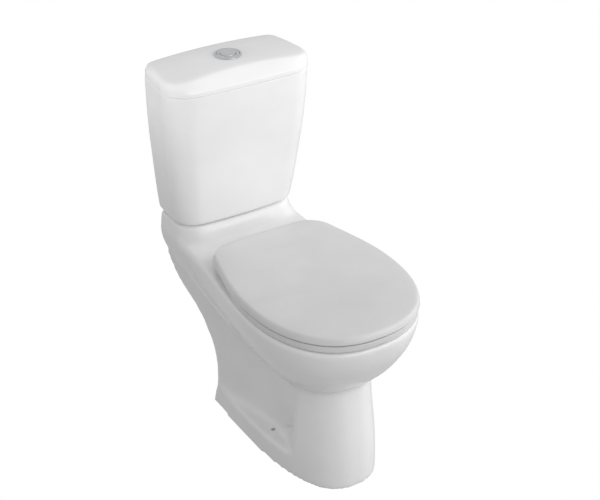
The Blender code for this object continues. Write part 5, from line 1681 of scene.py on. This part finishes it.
def threadTree():
    # A ridge that winds up round a core, with closed ends.
    tree = bpy.data.node_groups.new("threadRidge", "GeometryNodeTree")
    sockets = {"Geometry": "Geometry", "Place": "Vector", "Material": "Material"}
    sockets.update({name: "Float" for name in ("Radius", "Length", "Pitch", "Ridge")})
    for name, kind in sockets.items():
        tree.interface.new_socket(name=name, in_out="INPUT", socket_type=f"NodeSocket{kind}")
    tree.interface.new_socket(name="Geometry", in_out="OUTPUT", socket_type="NodeSocketGeometry")
    given = addNode(tree, "NodeGroupInput").outputs
    turns = addNode(tree, "ShaderNodeMath", {0: given["Length"], 1: given["Pitch"]}, operation="DIVIDE")
    values = {
        "Resolution": 40,
        "Rotations": turns.outputs[0],
        "Start Radius": given["Radius"],
        "End Radius": given["Radius"],
        "Height": given["Length"],
    }
    spiral = addNode(tree, "GeometryNodeCurveSpiral", values)
    upright = addNode(tree, "GeometryNodeSetCurveNormal", {"Curve": spiral.outputs[0]}, mode="Z_UP")
    section = addNode(tree, "GeometryNodeCurvePrimitiveCircle", {"Resolution": 4, "Radius": given["Ridge"]})
    values = {"Curve": upright.outputs[0], "Profile Curve": section.outputs[0], "Fill Caps": True}
    ridge = addNode(tree, "GeometryNodeCurveToMesh", values)
    values = {"Geometry": ridge.outputs[0], "Translation": given["Place"]}
    moved = addNode(tree, "GeometryNodeTransform", values)
    single = addNode(tree, "GeometryNodeRealizeInstances", {"Geometry": moved.outputs[0]})
    values = {"Geometry": single.outputs[0], "Material": given["Material"]}
    dressed = addNode(tree, "GeometryNodeSetMaterial", values)
    addNode(tree, "NodeGroupOutput", {"Geometry": dressed.outputs[0]})
    return tree


threads = threadTree()


def thread(name, material, radius, low, high, at):
    # The ridge's crest stands at the radius given, and its root lies in the core.
    ridge = small["threadHeight"]
    body = makeObject(name, [(0, 0, 0)], [])
    wind = body.modifiers.new("wind", "NODES")
    wind.node_group = threads
    values = {
        "Radius": radius - ridge,
        "Length": high - low - ridge * 2,
        "Pitch": small["threadPitch"],
        "Ridge": ridge,
        "Place": (at[0], at[1], low + ridge),
        "Material": finish[material],
    }
    for item in threads.interface.items_tree:
        if item.in_out == "INPUT" and item.name in values:
            wind[item.identifier] = values[item.name]
    settle(applied(body), "fixed")


# Hinges and bumpers

hinge = {
    "footLow": 0.4003,
    "flangeHeight": 0.004,
    "flangeRadius": 0.015,
    "flangeEdge": 0.0008,
    "columnEdge": 0.0008,
    "washerTop": 0.3857,
    "washerRadius": 0.013,
    "washerTip": 0.0091,
    "washerHeight": 0.011,
}
hingeNut = {
    "radius": 0.013,
    "bore": 0.0043,
    "low": 0.3644,
    "high": 0.3744,
    "ribs": 12,
    "flute": 0.0012,
    "edge": 0.001,
}


def keyhole(halfDepth, radius, centre, low):
    # A column that ends in a round head.
    start = math.asin(halfDepth / radius)
    turns = np.linspace(start - halfTurn / 2, halfTurn * 1.5 - start, 40)
    head = np.stack((centre[0] + radius * np.cos(turns), centre[1] + radius * np.sin(turns)), axis=1)
    foot = [point(centre[0] - halfDepth, low), point(centre[0] + halfDepth, low)]
    return np.concatenate((foot, head))


def hingePost(word, x):
    # A flange on the deck, a column that carries the pin, and a stud down through the deck.
    low, high = hinge["footLow"], hinge["footLow"] + hinge["flangeHeight"]
    studLow, studTop = low - seat["studLength"], low - hinge["flangeHeight"]
    core = seat["studRadius"] - small["threadHeight"]
    at = (x, pan["hingeY"])
    profile = (
        (0, high),
        (hinge["flangeRadius"] - hinge["flangeEdge"], high, hinge["flangeEdge"] * 2),
        (hinge["flangeRadius"], low + hinge["flangeEdge"], hinge["flangeEdge"]),
        (hinge["flangeRadius"], low),
        (seat["studRadius"], low),
        (seat["studRadius"], studTop),
        (core, studTop - small["soft"]),
        (core, studLow, small["soft"] * 2),
        (0, studLow),
    )
    stand = turned(f"hingePost{word}", profile, "chrome", at, small["soft"])
    width = seat["postWidth"]
    centre = (pan["hingeY"], seat["hingeZ"])
    outline = keyhole(seat["postHalfDepth"], seat["knuckleRadius"], centre, low + hinge["flangeHeight"] / 2)
    column = extruded(f"column{word}", outline, x - width / 2, x + width / 2, hinge["columnEdge"], 0)
    boolean(stand, [column], "UNION")
    boolean(stand, [knuckle(f"postBore{word}", x - width, seat["pinRadius"] + small["gap"], width * 2)])
    sharpen(stand)
    settle(stand, "fixed", f"hinge_post_{word.lower()}")
    thread(f"studThread{word}", "chrome", seat["studRadius"], studLow, studTop, at)


def hingePin(side, word):
    ends = [knuckleLow(side, outward) for outward in (-1, 1)]
    first, last = min(ends) + small["gap"], max(ends) + seat["knuckleWidth"] - small["gap"]
    profile = discProfile(seat["pinRadius"], 0, last - first)
    place = (first, pan["hingeY"], seat["hingeZ"])
    pin = turned(f"hingePin{word}", profile, "steel", radius=small["soft"] * 2, count=40, along=place)
    settle(pin, "fixed", f"hinge_pin_{word.lower()}")


def makeHinges():
    for side, word in ((-1, "Left"), (1, "Right")):
        x = side * pan["hingeSpacing"] / 2
        at = (x, pan["hingeY"])
        hingePost(word, x)
        hingePin(side, word)
        top, bore = hinge["washerTop"] - small["gap"], hingeNut["bore"]
        low = top - hinge["washerHeight"]
        profile = (
            (bore, top),
            (hinge["washerRadius"], top),
            (hinge["washerRadius"], top - hinge["washerHeight"] / 3, small["soft"] * 3),
            (hinge["washerTip"], low),
            (bore, low),
        )
        washer = turned(f"hingeWasher{word}", profile, "rubber", at, small["soft"])
        settle(washer, "fixed", f"hinge_washer_{word.lower()}")
        nut = flutedNut(f"hingeNut{word}", hingeNut, at, "whitePlastic")
        settle(nut, "fixed", f"hinge_nut_{word.lower()}")


bumpers = {
    "seatRadius": 0.007,
    "seatLow": 0.4003,
    "seatHigh": 0.4082,
    "coverRadius": 0.006,
    "coverLow": 0.4178,
    "coverHigh": 0.4297,
    "front": (0.1198, -0.22858),
    "rear": (0.13022, -0.02186),
    "coverFront": (0.0, -0.2974),
    "coverSide": (0.14378, -0.11159),
    # rows as in shapedProfile
    "shapeShares": (
        (0.00, 1.00, 1),
        (0.90, 1.00, 1),
        (1.00, 0.80, 1),
        (1.00, 0.30, 3),
        (0.72, 0.00, 3),
        (0.30, 0.00, 1),
        (0.18, 0.08, 1),
        (0.00, 0.08, 1),
    ),
}


def shapedProfile(shares, radius, low, high):
    # Rows of a share of the radius, a share of the height and the rounding in soft edges.
    edge = small["soft"]
    return [(radius * reach, blend(low, high, level), edge * soft) for reach, level, soft in shares]


def bumper(body, word, at):
    # A round cushion on seat or cover, with a shallow dimple where it was moulded.
    radius, low, high = (bumpers[f"{body}{size}"] for size in ("Radius", "Low", "High"))
    profile = shapedProfile(bumpers["shapeShares"], radius, low, high)
    made = turned(f"{body}Bumper{word}", profile, "rubber", at, count=48)
    settle(made, body, snake(made.name))


def makeBumpers():
    for side, word in ((-1, "Left"), (1, "Right")):
        for end in ("front", "rear"):
            x, y = bumpers[end]
            bumper("seat", f"{end.title()}{word}", (side * x, y))
        x, y = bumpers["coverSide"]
        bumper("cover", word, (side * x, y))
    bumper("cover", "Front", bumpers["coverFront"])


# Ring nut and rods of the flush buttons

rods = {
    "radius": 0.0025,
    "low": 0.6594,
    "high": 0.7996,
    # the same, slimmer between the two ends, where the rod is guided
    "shapeShares": (
        (0.0, 1.00, 1),
        (1.0, 1.00, 1),
        (1.0, 0.75, 1),
        (0.8, 0.73, 1),
        (0.8, 0.22, 1),
        (1.0, 0.20, 1),
        (1.0, 0.00, 3),
        (0.0, 0.00, 1),
    ),
}
buttonNut = {
    "radius": 0.034,
    "bore": 0.0273,
    "low": 0.7833,
    "high": 0.7903,
    "ribs": 16,
    "flute": 0.0016,
    "edge": 0.001,
}


def makeRods():
    nut = flutedNut("buttonNut", buttonNut, (0, lid["buttonY"]), "whitePlastic")
    settle(nut, "lid", "button_nut")
    profile = shapedProfile(rods["shapeShares"], rods["radius"], rods["low"], rods["high"])
    for word, x in zip(("full", "half"), button["rodX"]):
        rod = turned(f"{word}Rod", profile, "whitePlastic", (x, button["rodY"]), count=32)
        settle(rod, f"{word}_flush", f"{word}_rod")


# Flush valve

valve = {
    "flangeLow": 0.4479,
    "flangeHeight": 0.008,
    "flangeRadius": 0.038,
    "lipHeight": 0.003,
    "lipWidth": 0.003,
    "tailRadius": 0.0287,
    "tailWall": 0.0042,
    "tailLow": 0.4044,
    "sealRadius": 0.032,
    "sealLow": 0.4592,
    "sealHeight": 0.004,
    "overflowRadius": 0.012,
    "overflowWall": 0.0025,
    "overflowTop": 0.7032,
    "discLow": 0.4635,
    "discHeight": 0.004,
    "discRadius": 0.028,
    "cageLow": 0.4562,
    "cageTop": 0.6392,
    "cageRadius": 0.036,
    "cageWall": 0.0025,
    "guide": 0.0128,
    "windowHalfWidth": 0.010,
    "windowLow": 0.4702,
    "windowTop": 0.5982,
    "windowCorner": 0.004,
    "windowPairs": 3,
    "headLow": 0.6395,
    "headTop": 0.6675,
    "headHalfWidth": 0.030,
    "headFront": 0.228,
    "headBack": 0.300,
    "headCorner": 0.006,
    "headEdge": 0.0015,
    "socketRadius": 0.0037,
    "socketDepth": 0.016,
    "gasketOuter": 0.0464,
    "gasketStep": 0.0386,
    "gasketInner": 0.0299,
    "gasketLow": 0.4188,
    "gasketMiddle": 0.4260,
    "gasketTop": 0.4353,
}
valveNut = {
    "radius": 0.038,
    "bore": 0.029,
    "low": 0.4263,
    "high": 0.4353,
    "ribs": 18,
    "flute": 0.0022,
    "edge": 0.0012,
}


def valveBase(at):
    soft = small["soft"]
    low, top = valve["flangeLow"], valve["flangeLow"] + valve["flangeHeight"]
    bore = valve["tailRadius"] - valve["tailWall"]
    core = valve["tailRadius"] - small["threadHeight"]
    profile = (
        (bore, top + valve["lipHeight"]),
        (bore + valve["lipWidth"], top + valve["lipHeight"]),
        (bore + valve["lipWidth"], top),
        (valve["flangeRadius"], top, soft * 3),
        (valve["flangeRadius"], low),
        (core, low),
        (core, valve["tailLow"]),
        (bore, valve["tailLow"]),
    )
    base = turned("flushValveBase", profile, "whitePlastic", at, soft, count=96)
    settle(base, "fixed", "flush_valve_base")
    thread("tailThread", "whitePlastic", valve["tailRadius"], valve["tailLow"], low, at)


def overflow(at):
    # The seal and the tube that stands on it.
    soft, outer = small["soft"], valve["overflowRadius"]
    inner = outer - valve["overflowWall"]
    low, top = valve["sealLow"], valve["sealLow"] + valve["sealHeight"]
    profile = discProfile(valve["sealRadius"], low, top, outer + small["gap"])
    settle(turned("flushSeal", profile, "rubber", at, soft * 3, count=96), "valve", "flush_seal")
    discTop = valve["discLow"] + valve["discHeight"]
    profile = (
        (inner, valve["overflowTop"], soft),
        (outer, valve["overflowTop"], soft),
        (outer, discTop, soft * 4),
        (valve["discRadius"], discTop),
        (valve["discRadius"], valve["discLow"]),
        (outer, valve["discLow"]),
        (outer, valve["sealLow"]),
        (inner, valve["sealLow"]),
    )
    settle(turned("overflowTube", profile, "bluePlastic", at, soft), "valve", "overflow_tube")


def valveCage(at):
    radius, wall, top = valve["cageRadius"], valve["cageWall"], valve["cageTop"]
    profile = (
        (valve["guide"], top),
        (radius, top, wall),
        (radius, valve["cageLow"]),
        (radius - wall, valve["cageLow"]),
        (radius - wall, top - wall, wall),
        (valve["guide"], top - wall),
    )
    cage = turned("valveCage", profile, "whitePlastic", at, count=96)
    half, reach = valve["windowHalfWidth"], radius + small["overrun"]
    outline = roundedBox((-half, valve["windowLow"]), (half, valve["windowTop"]), valve["windowCorner"])
    windows = []
    for index in range(valve["windowPairs"]):
        window = extruded(f"window{index}", outline, -reach, reach, 0, 0)
        window.data.transform(Matrix.Rotation(halfTurn * index / valve["windowPairs"], 4, "Z"))
        window.data.transform(Matrix.Translation((*at, 0)))
        windows.append(window)
    boolean(cage, windows)
    sharpen(cage)
    settle(cage, "fixed", "valve_cage")


def valveHead(at):
    low, top, over = valve["headLow"], valve["headTop"], valve["headTop"] + small["overrun"]
    half = valve["headHalfWidth"]
    outline = roundedBox((-half, valve["headFront"]), (half, valve["headBack"]), valve["headCorner"])
    head = extruded("valveHead", outline, low, top, valve["headEdge"], 2, "bluePlastic")
    holes = [post("guideHole", valve["guide"], low - small["overrun"], over, at, count=64)]
    for x in button["rodX"]:
        socketLow = top - valve["socketDepth"]
        place = (x, button["rodY"])
        holes.append(post(f"socket{x}", valve["socketRadius"], socketLow, over, place, count=32))
    boolean(head, holes)
    sharpen(head)
    settle(head, "fixed", "valve_head")


def makeFlushValve():
    at = (0, pan["flushY"])
    soft = small["soft"]
    valveBase(at)
    overflow(at)
    valveCage(at)
    valveHead(at)
    settle(flutedNut("valveBacknut", valveNut, at, "whitePlastic"), "fixed", "valve_backnut")
    profile = (
        (valve["gasketOuter"], valve["gasketTop"], soft * 4),
        (valve["gasketOuter"], valve["gasketLow"], soft * 6),
        (valve["gasketInner"], valve["gasketLow"], soft * 2),
        (valve["gasketInner"], valve["gasketMiddle"]),
        (valve["gasketStep"], valve["gasketMiddle"]),
        (valve["gasketStep"], valve["gasketTop"]),
    )
    settle(turned("tankGasket", profile, "rubber", at, soft, count=96), "fixed", "tank_gasket")


# Coupling between cistern and pan

coupling = {
    "washerRadius": 0.012,
    "washerLow": 0.4479,
    "washerHeight": 0.004,
    "headLow": 0.4522,
    "headHeight": 0.005,
    "headRadius": 0.0085,
    "slotWidth": 0.0016,
    "slotDepth": 0.0018,
    "boltRadius": 0.004,
    "boltLow": 0.3802,
    "threadTop": 0.4200,
    "plateRadius": 0.011,
    "plateLow": 0.4057,
    "plateHeight": 0.002,
    "hubRadius": 0.007,
    "nutLow": 0.3954,
    "nutTop": 0.4054,
    "wingSpan": 0.030,
    "wingThickness": 0.003,
    "wingInset": 0.001,
    "wingEdge": 0.0008,
    "wingRootShare": 0.8,
    "wingSweepShare": 0.25,
    "headCrownShares": (0.55, 0.92, 0.45),  # crown's radius and height, shoulder's height
    "hubFootShare": 0.85,
}


def wingOutline(centreY, end):
    # One ear of the nut, seen along X.
    low, high = coupling["nutLow"] + coupling["wingInset"], coupling["nutTop"] - coupling["wingInset"]
    near, far = coupling["hubRadius"] * coupling["wingRootShare"], coupling["wingSpan"] / 2
    corners = ((near, blend(low, high, coupling["wingSweepShare"])), (far, low), (far, high), (near, high))
    edge, wide = coupling["wingEdge"], coupling["wingThickness"]
    rooms = (edge, wide, wide, edge)
    points = [point(centreY + end * y, z) for y, z in corners]
    if end < 0:
        points, rooms = points[::-1], rooms[::-1]
    return np.array(roundedCorners(points, rooms))


def tankBolt(title, at):
    # A slotted head with a low crown, on a shank whose lower part is threaded.
    soft, radius, threadTop = small["soft"], coupling["boltRadius"], coupling["threadTop"]
    low, height = coupling["headLow"], coupling["headHeight"]
    top, core = low + height, radius - small["threadHeight"]
    crown, crownHeight, shoulder = coupling["headCrownShares"]
    profile = (
        (0, top),
        (coupling["headRadius"] * crown, low + height * crownHeight, soft * 4),
        (coupling["headRadius"], low + height * shoulder, soft * 3),
        (coupling["headRadius"], low),
        (radius, low),
        (radius, threadTop),
        (core, threadTop - soft),
        (core, coupling["boltLow"], soft * 2),
        (0, coupling["boltLow"]),
    )
    bolt = turned(f"tankBolt{title}", profile, "brass", at, soft)
    x, y = at
    reach, half = coupling["headRadius"] * 2, coupling["slotWidth"] / 2
    slotLow = (x - reach, y - half, top - coupling["slotDepth"])
    boolean(bolt, [block(f"slot{title}", slotLow, (x + reach, y + half, top + small["overrun"]))])
    sharpen(bolt)
    settle(bolt, "fixed", f"tank_bolt_{title.lower()}")
    thread(f"boltThread{title}", "brass", radius, coupling["boltLow"], threadTop, at)


def wingNut(title, at):
    soft, bore = small["soft"], coupling["boltRadius"] + small["gap"]
    profile = (
        (bore, coupling["nutTop"]),
        (coupling["hubRadius"], coupling["nutTop"]),
        (coupling["hubRadius"], coupling["nutLow"] + coupling["wingInset"], soft * 2),
        (coupling["hubRadius"] * coupling["hubFootShare"], coupling["nutLow"]),
        (bore, coupling["nutLow"]),
    )
    nut = turned(f"wingNut{title}", profile, "brass", at, soft)
    low, high = at[0] - coupling["wingThickness"] / 2, at[0] + coupling["wingThickness"] / 2
    wings = []
    for end in (-1, 1):
        outline = wingOutline(at[1], end)
        wings.append(extruded(f"wing{title}{end}", outline, low, high, coupling["wingEdge"], 0))
    boolean(nut, wings, "UNION")
    sharpen(nut)
    settle(nut, "fixed", f"wing_nut_{title.lower()}")


def makeCoupling():
    soft, bore = small["soft"], coupling["boltRadius"] + small["gap"]
    for side, word in ((-1, "left"), (1, "right")):
        at = (side * pan["boltSpacing"] / 2, pan["flushY"])
        title = word.title()
        low, radius = coupling["washerLow"], coupling["washerRadius"]
        profile = discProfile(radius, low, low + coupling["washerHeight"], bore)
        washer = turned(f"boltWasher{title}", profile, "rubber", at, soft * 2)
        settle(washer, "fixed", f"bolt_washer_{word}")
        tankBolt(title, at)
        low, radius = coupling["plateLow"], coupling["plateRadius"]
        profile = discProfile(radius, low, low + coupling["plateHeight"], bore)
        plate = turned(f"plateWasher{title}", profile, "steel", at, soft)
        settle(plate, "fixed", f"plate_washer_{word}")
        wingNut(title, at)


# Fill valve

fill = {
    "shankRadius": 0.0103,
    "shankBore": 0.006,
    "shankLow": 0.3676,
    "flangeLow": 0.4512,
    "flangeTop": 0.4542,
    "flangeRadius": 0.0175,
    "riserRadius": 0.0130,
    "headRadius": 0.0180,
    "headLow": 0.6592,
    "headTop": 0.6892,
    "grooveDepth": 0.0006,
    "grooveWidth": 0.0012,
    "washerRadius": 0.0170,
    "washerLow": 0.4479,
    "washerTop": 0.4509,
    "floatRadius": 0.0270,
    "floatBore": 0.0142,
    "floatLow": 0.5805,
    "floatTop": 0.6405,
    "floatEdge": 0.0030,
    "pivotX": 0.0760,
    "pivotZ": 0.6742,
    "armLow": 0.2440,
    "armHigh": 0.2520,
    "armEnd": 0.1140,
    "armHalfHeight": 0.002,
    "armHub": 0.0062,
    "armBore": 0.0035,
    "armEdge": 0.0005,
    "pinRadius": 0.0031,
    "pinHigh": 0.2600,
    "bracketLow": 0.2528,
    "bracketEdge": 0.0010,
    "linkX": 0.1100,
    "linkY": 0.2480,
    "linkRadius": 0.0015,
    "linkLow": 0.6408,
    "linkTop": 0.6718,
    "grooveShare": 0.42,
    "seamShare": 0.8,
    "cornerShare": 0.7,  # of the arm's hub, as taperShare
    "hubGapShare": 2.2,
    "taperShare": 1.6,
    "barEndShares": (0.8, 0.9),  # corner, and what is cut off at the hub's end, of armHalfHeight
}
fillNut = {
    "radius": 0.0165,
    "bore": 0.0106,
    "low": 0.4263,
    "high": 0.4353,
    "ribs": 12,
    "flute": 0.0014,
    "edge": 0.0008,
}


def leverOutline():
    # A round hub that tapers into a bar.
    half, end, hubRadius = fill["armHalfHeight"], fill["armEnd"], fill["armHub"]
    x, z = fill["pivotX"], fill["pivotZ"]
    start = math.asin(half / hubRadius) * fill["hubGapShare"]
    turns = np.linspace(start, 2 * halfTurn - start, 36)
    hub = np.stack((x + hubRadius * np.cos(turns), z + hubRadius * np.sin(turns)), axis=1)
    taper = x + hubRadius * fill["taperShare"]
    corner, reach = fill["barEndShares"]
    bar = roundedBox((taper, z - half), (end, z + half), half * corner)
    bar = bar[np.abs(bar[:, 0] - taper) >= half * reach]
    bar = bar[np.argsort(np.arctan2(bar[:, 1] - z, bar[:, 0] - (taper + end) / 2))]
    return np.concatenate((hub, [point(taper, z - half)], bar, [point(taper, z + half)]))


def fillBody(at):
    # Head, riser and threaded shank in one piece with the arm's bracket and pin.
    soft, core = small["soft"], fill["shankRadius"] - small["threadHeight"]
    middle, groove = blend(fill["headLow"], fill["headTop"], fill["grooveShare"]), fill["grooveWidth"]
    profile = (
        (0, fill["headTop"]),
        (fill["headRadius"], fill["headTop"], soft * 5),
        (fill["headRadius"], middle + groove),
        (fill["headRadius"] - fill["grooveDepth"], middle + groove / 2),
        (fill["headRadius"], middle),
        (fill["headRadius"], fill["headLow"], soft * 3),
        (fill["riserRadius"], fill["headLow"]),
        (fill["riserRadius"], fill["flangeTop"], soft * 2),
        (fill["flangeRadius"], fill["flangeTop"]),
        (fill["flangeRadius"], fill["flangeLow"]),
        (core, fill["flangeLow"]),
        (core, fill["shankLow"]),
        (fill["shankBore"], fill["shankLow"]),
        (fill["shankBore"], fill["flangeTop"]),
        (0, fill["flangeTop"]),
    )
    body = turned("fillValveBody", profile, "whitePlastic", at, soft, count=80)
    hub, x, z = fill["armHub"], fill["pivotX"], fill["pivotZ"]
    outline = roundedBox((x - hub, z - hub), (at[0], z + hub), hub * fill["cornerShare"])
    bracket = extruded("armBracket", outline, fill["bracketLow"], at[1], fill["bracketEdge"], 1)
    profile = discProfile(fill["pinRadius"], 0, fill["pinHigh"] - fill["armLow"])
    pin = turned("armPin", profile, None, radius=soft, count=32, along=(x, fill["armLow"], z), axis=1)
    boolean(body, [bracket, pin], "UNION")
    sharpen(body)
    settle(body, "fixed", "fill_valve_body")
    thread("shankThread", "whitePlastic", fill["shankRadius"], fill["shankLow"], fill["flangeLow"], at)


def floatArm():
    low, high, edge = fill["armLow"], fill["armHigh"], fill["armEdge"]
    arm = extruded("floatArm", leverOutline(), low, high, edge, 1, "bluePlastic")
    profile = discProfile(fill["armBore"], -small["overrun"], small["overrun"] * 2)
    place = (fill["pivotX"], low, fill["pivotZ"])
    boolean(arm, [turned("armBore", profile, None, radius=0, count=40, along=place, axis=1)])
    sharpen(arm)
    settle(arm, "arm", "float_arm")


def makeFillValve():
    at = (pan["fillX"], pan["fillY"])
    soft, groove = small["soft"], fill["grooveWidth"]
    fillBody(at)
    floatArm()
    radius, bore = fill["washerRadius"], fill["shankRadius"] + small["gap"]
    profile = discProfile(radius, fill["washerLow"], fill["washerTop"], bore)
    settle(turned("fillWasher", profile, "rubber", at, soft * 2), "fixed", "fill_washer")
    settle(flutedNut("fillBacknut", fillNut, at, "whitePlastic"), "fixed", "fill_backnut")
    low, high, radius = fill["floatLow"], fill["floatTop"], fill["floatRadius"]
    seam = blend(low, high, fill["seamShare"])
    profile = (
        (fill["floatBore"], high),
        (radius, high, fill["floatEdge"]),
        (radius, seam + groove, soft / 2),
        (radius - fill["grooveDepth"], seam + groove / 2, soft / 2),
        (radius, seam, soft / 2),
        (radius, low, fill["floatEdge"]),
        (fill["floatBore"], low),
    )
    settle(turned("fillFloat", profile, "greyPlastic", at, soft, count=80), "float", "fill_float")
    profile = discProfile(fill["linkRadius"], fill["linkLow"], fill["linkTop"])
    link = turned("floatLink", profile, "greyPlastic", (fill["linkX"], fill["linkY"]), soft, count=24)
    settle(link, "float", "float_link")


makePan()
makeCistern()
makeLid()
makeButtons()
makeSeatRing()
makeCover()
makeHinges()
makeBumpers()
makeRods()
makeFlushValve()
makeCoupling()
makeFillValve()


# Stage, light and camera

studio = {
    "floorReach": 6.0,
    "floorTop": -0.0005,
    "floorColour": "#959595",
    "floorRoughness": 0.9,
    "ambient": 0.56,
    "mirroredWhite": 0.57,
    "lens": 82.05,
    "sensor": 36.0,
    "cameraAt": (-1.29500, -2.09644, 1.91712),
    "cameraTilt": 59.2115,
    "cameraTurn": -32.151,
}
# place, what it points at, size, watts, spread in degrees and whether it shows in reflections
lamps = {
    "right": ((2.6, -0.8, 1.6), (0.0, 0.0, 0.4), (1.6, 1.6), 41.0, 180, False),
    "lowWide": ((0.6, -2.8, 0.8), (0.0, 0.0, 0.4), (3.0, 1.4), 23.0, 180, True),
    "leftLow": ((-2.6, -0.3, 0.5), (0.0, 0.0, 0.3), (1.6, 0.8), 3.0, 180, False),
    "tankSide": ((-1.3, 0.35, 1.0), (0.0, 0.27, 0.85), (0.7, 0.3), 0.5, 40, False),
    "tankFront": ((0.1, -1.3, 1.3), (0.0, 0.2, 0.8), (0.9, 0.4), 0.28, 40, False),
}
white = (1, 1, 1, 1)


def backdrop(tree, light, kind):
    # White to the camera, dimmer in reflections, and to all other rays the light given.
    rays = addNode(tree, "ShaderNodeLightPath").outputs
    camera, glossy = rays["Is Camera Ray"], rays["Is Glossy Ray"]
    mirrored = studio["mirroredWhite"]
    values = {0: camera, 1: 1 - mirrored, 2: mirrored}
    strength = addNode(tree, "ShaderNodeMath", values, operation="MULTIPLY_ADD")
    shown = addNode(tree, kind, {"Color": white, "Strength": strength.outputs[0]})
    either = addNode(tree, "ShaderNodeMath", {0: camera, 1: glossy}, operation="MAXIMUM")
    mix = addNode(tree, "ShaderNodeMixShader", {0: either.outputs[0], 1: light, 2: shown.outputs[0]})
    return mix.outputs[0]


def stageMaterial():
    made = bpy.data.materials.new("stageWhite")
    made.use_nodes = True
    tree = made.node_tree
    values = {"Base Color": colour(studio["floorColour"]), "Roughness": studio["floorRoughness"]}
    shader = setInputs(tree, tree.nodes["Principled BSDF"], values)
    surface = backdrop(tree, shader.outputs[0], "ShaderNodeEmission")
    setInputs(tree, tree.nodes["Material Output"], {"Surface": surface})
    return made


def makeStage():
    reach, top = studio["floorReach"], studio["floorTop"]
    corners = [(-reach, -reach, top), (reach, -reach, top), (reach, reach, top), (-reach, reach, top)]
    floor = makeObject("floor", corners, [(0, 1, 2, 3)])
    floor.data.materials.append(stageMaterial())


def makeWorld():
    world = bpy.data.worlds.new("studio")
    bpy.context.scene.world = world
    world.use_nodes = True
    tree = world.node_tree
    values = {"Color": white, "Strength": studio["ambient"]}
    ambient = setInputs(tree, tree.nodes["Background"], values)
    surface = backdrop(tree, ambient.outputs[0], "ShaderNodeBackground")
    setInputs(tree, tree.nodes["World Output"], {"Surface": surface})


def addLamp(name, at, target, size, energy, spread, mirrored):
    light = bpy.data.lights.new(name, "AREA")
    light.shape = "RECTANGLE"
    light.size, light.size_y = size
    light.energy = energy
    light.spread = math.radians(spread)
    made = bpy.data.objects.new(name, light)
    bpy.context.scene.collection.objects.link(made)
    made.visible_camera = False
    made.visible_glossy = mirrored
    made.location = at
    x, y, z = np.array(target) - np.array(at)
    made.rotation_euler = (math.atan2(math.hypot(x, y), -z), 0, math.atan2(-x, y))


def makeCamera():
    camera = bpy.data.cameras.new("camera")
    camera.lens = studio["lens"]
    camera.sensor_width = studio["sensor"]
    made = bpy.data.objects.new("camera", camera)
    bpy.context.scene.collection.objects.link(made)
    made.location = studio["cameraAt"]
    made.rotation_euler = (math.radians(studio["cameraTilt"]), 0, math.radians(studio["cameraTurn"]))
    bpy.context.scene.camera = made


makeStage()
makeWorld()
for name, lamp in lamps.items():
    addLamp(name, *lamp)
makeCamera()
bpy.context.scene.view_settings.view_transform = "Standard"
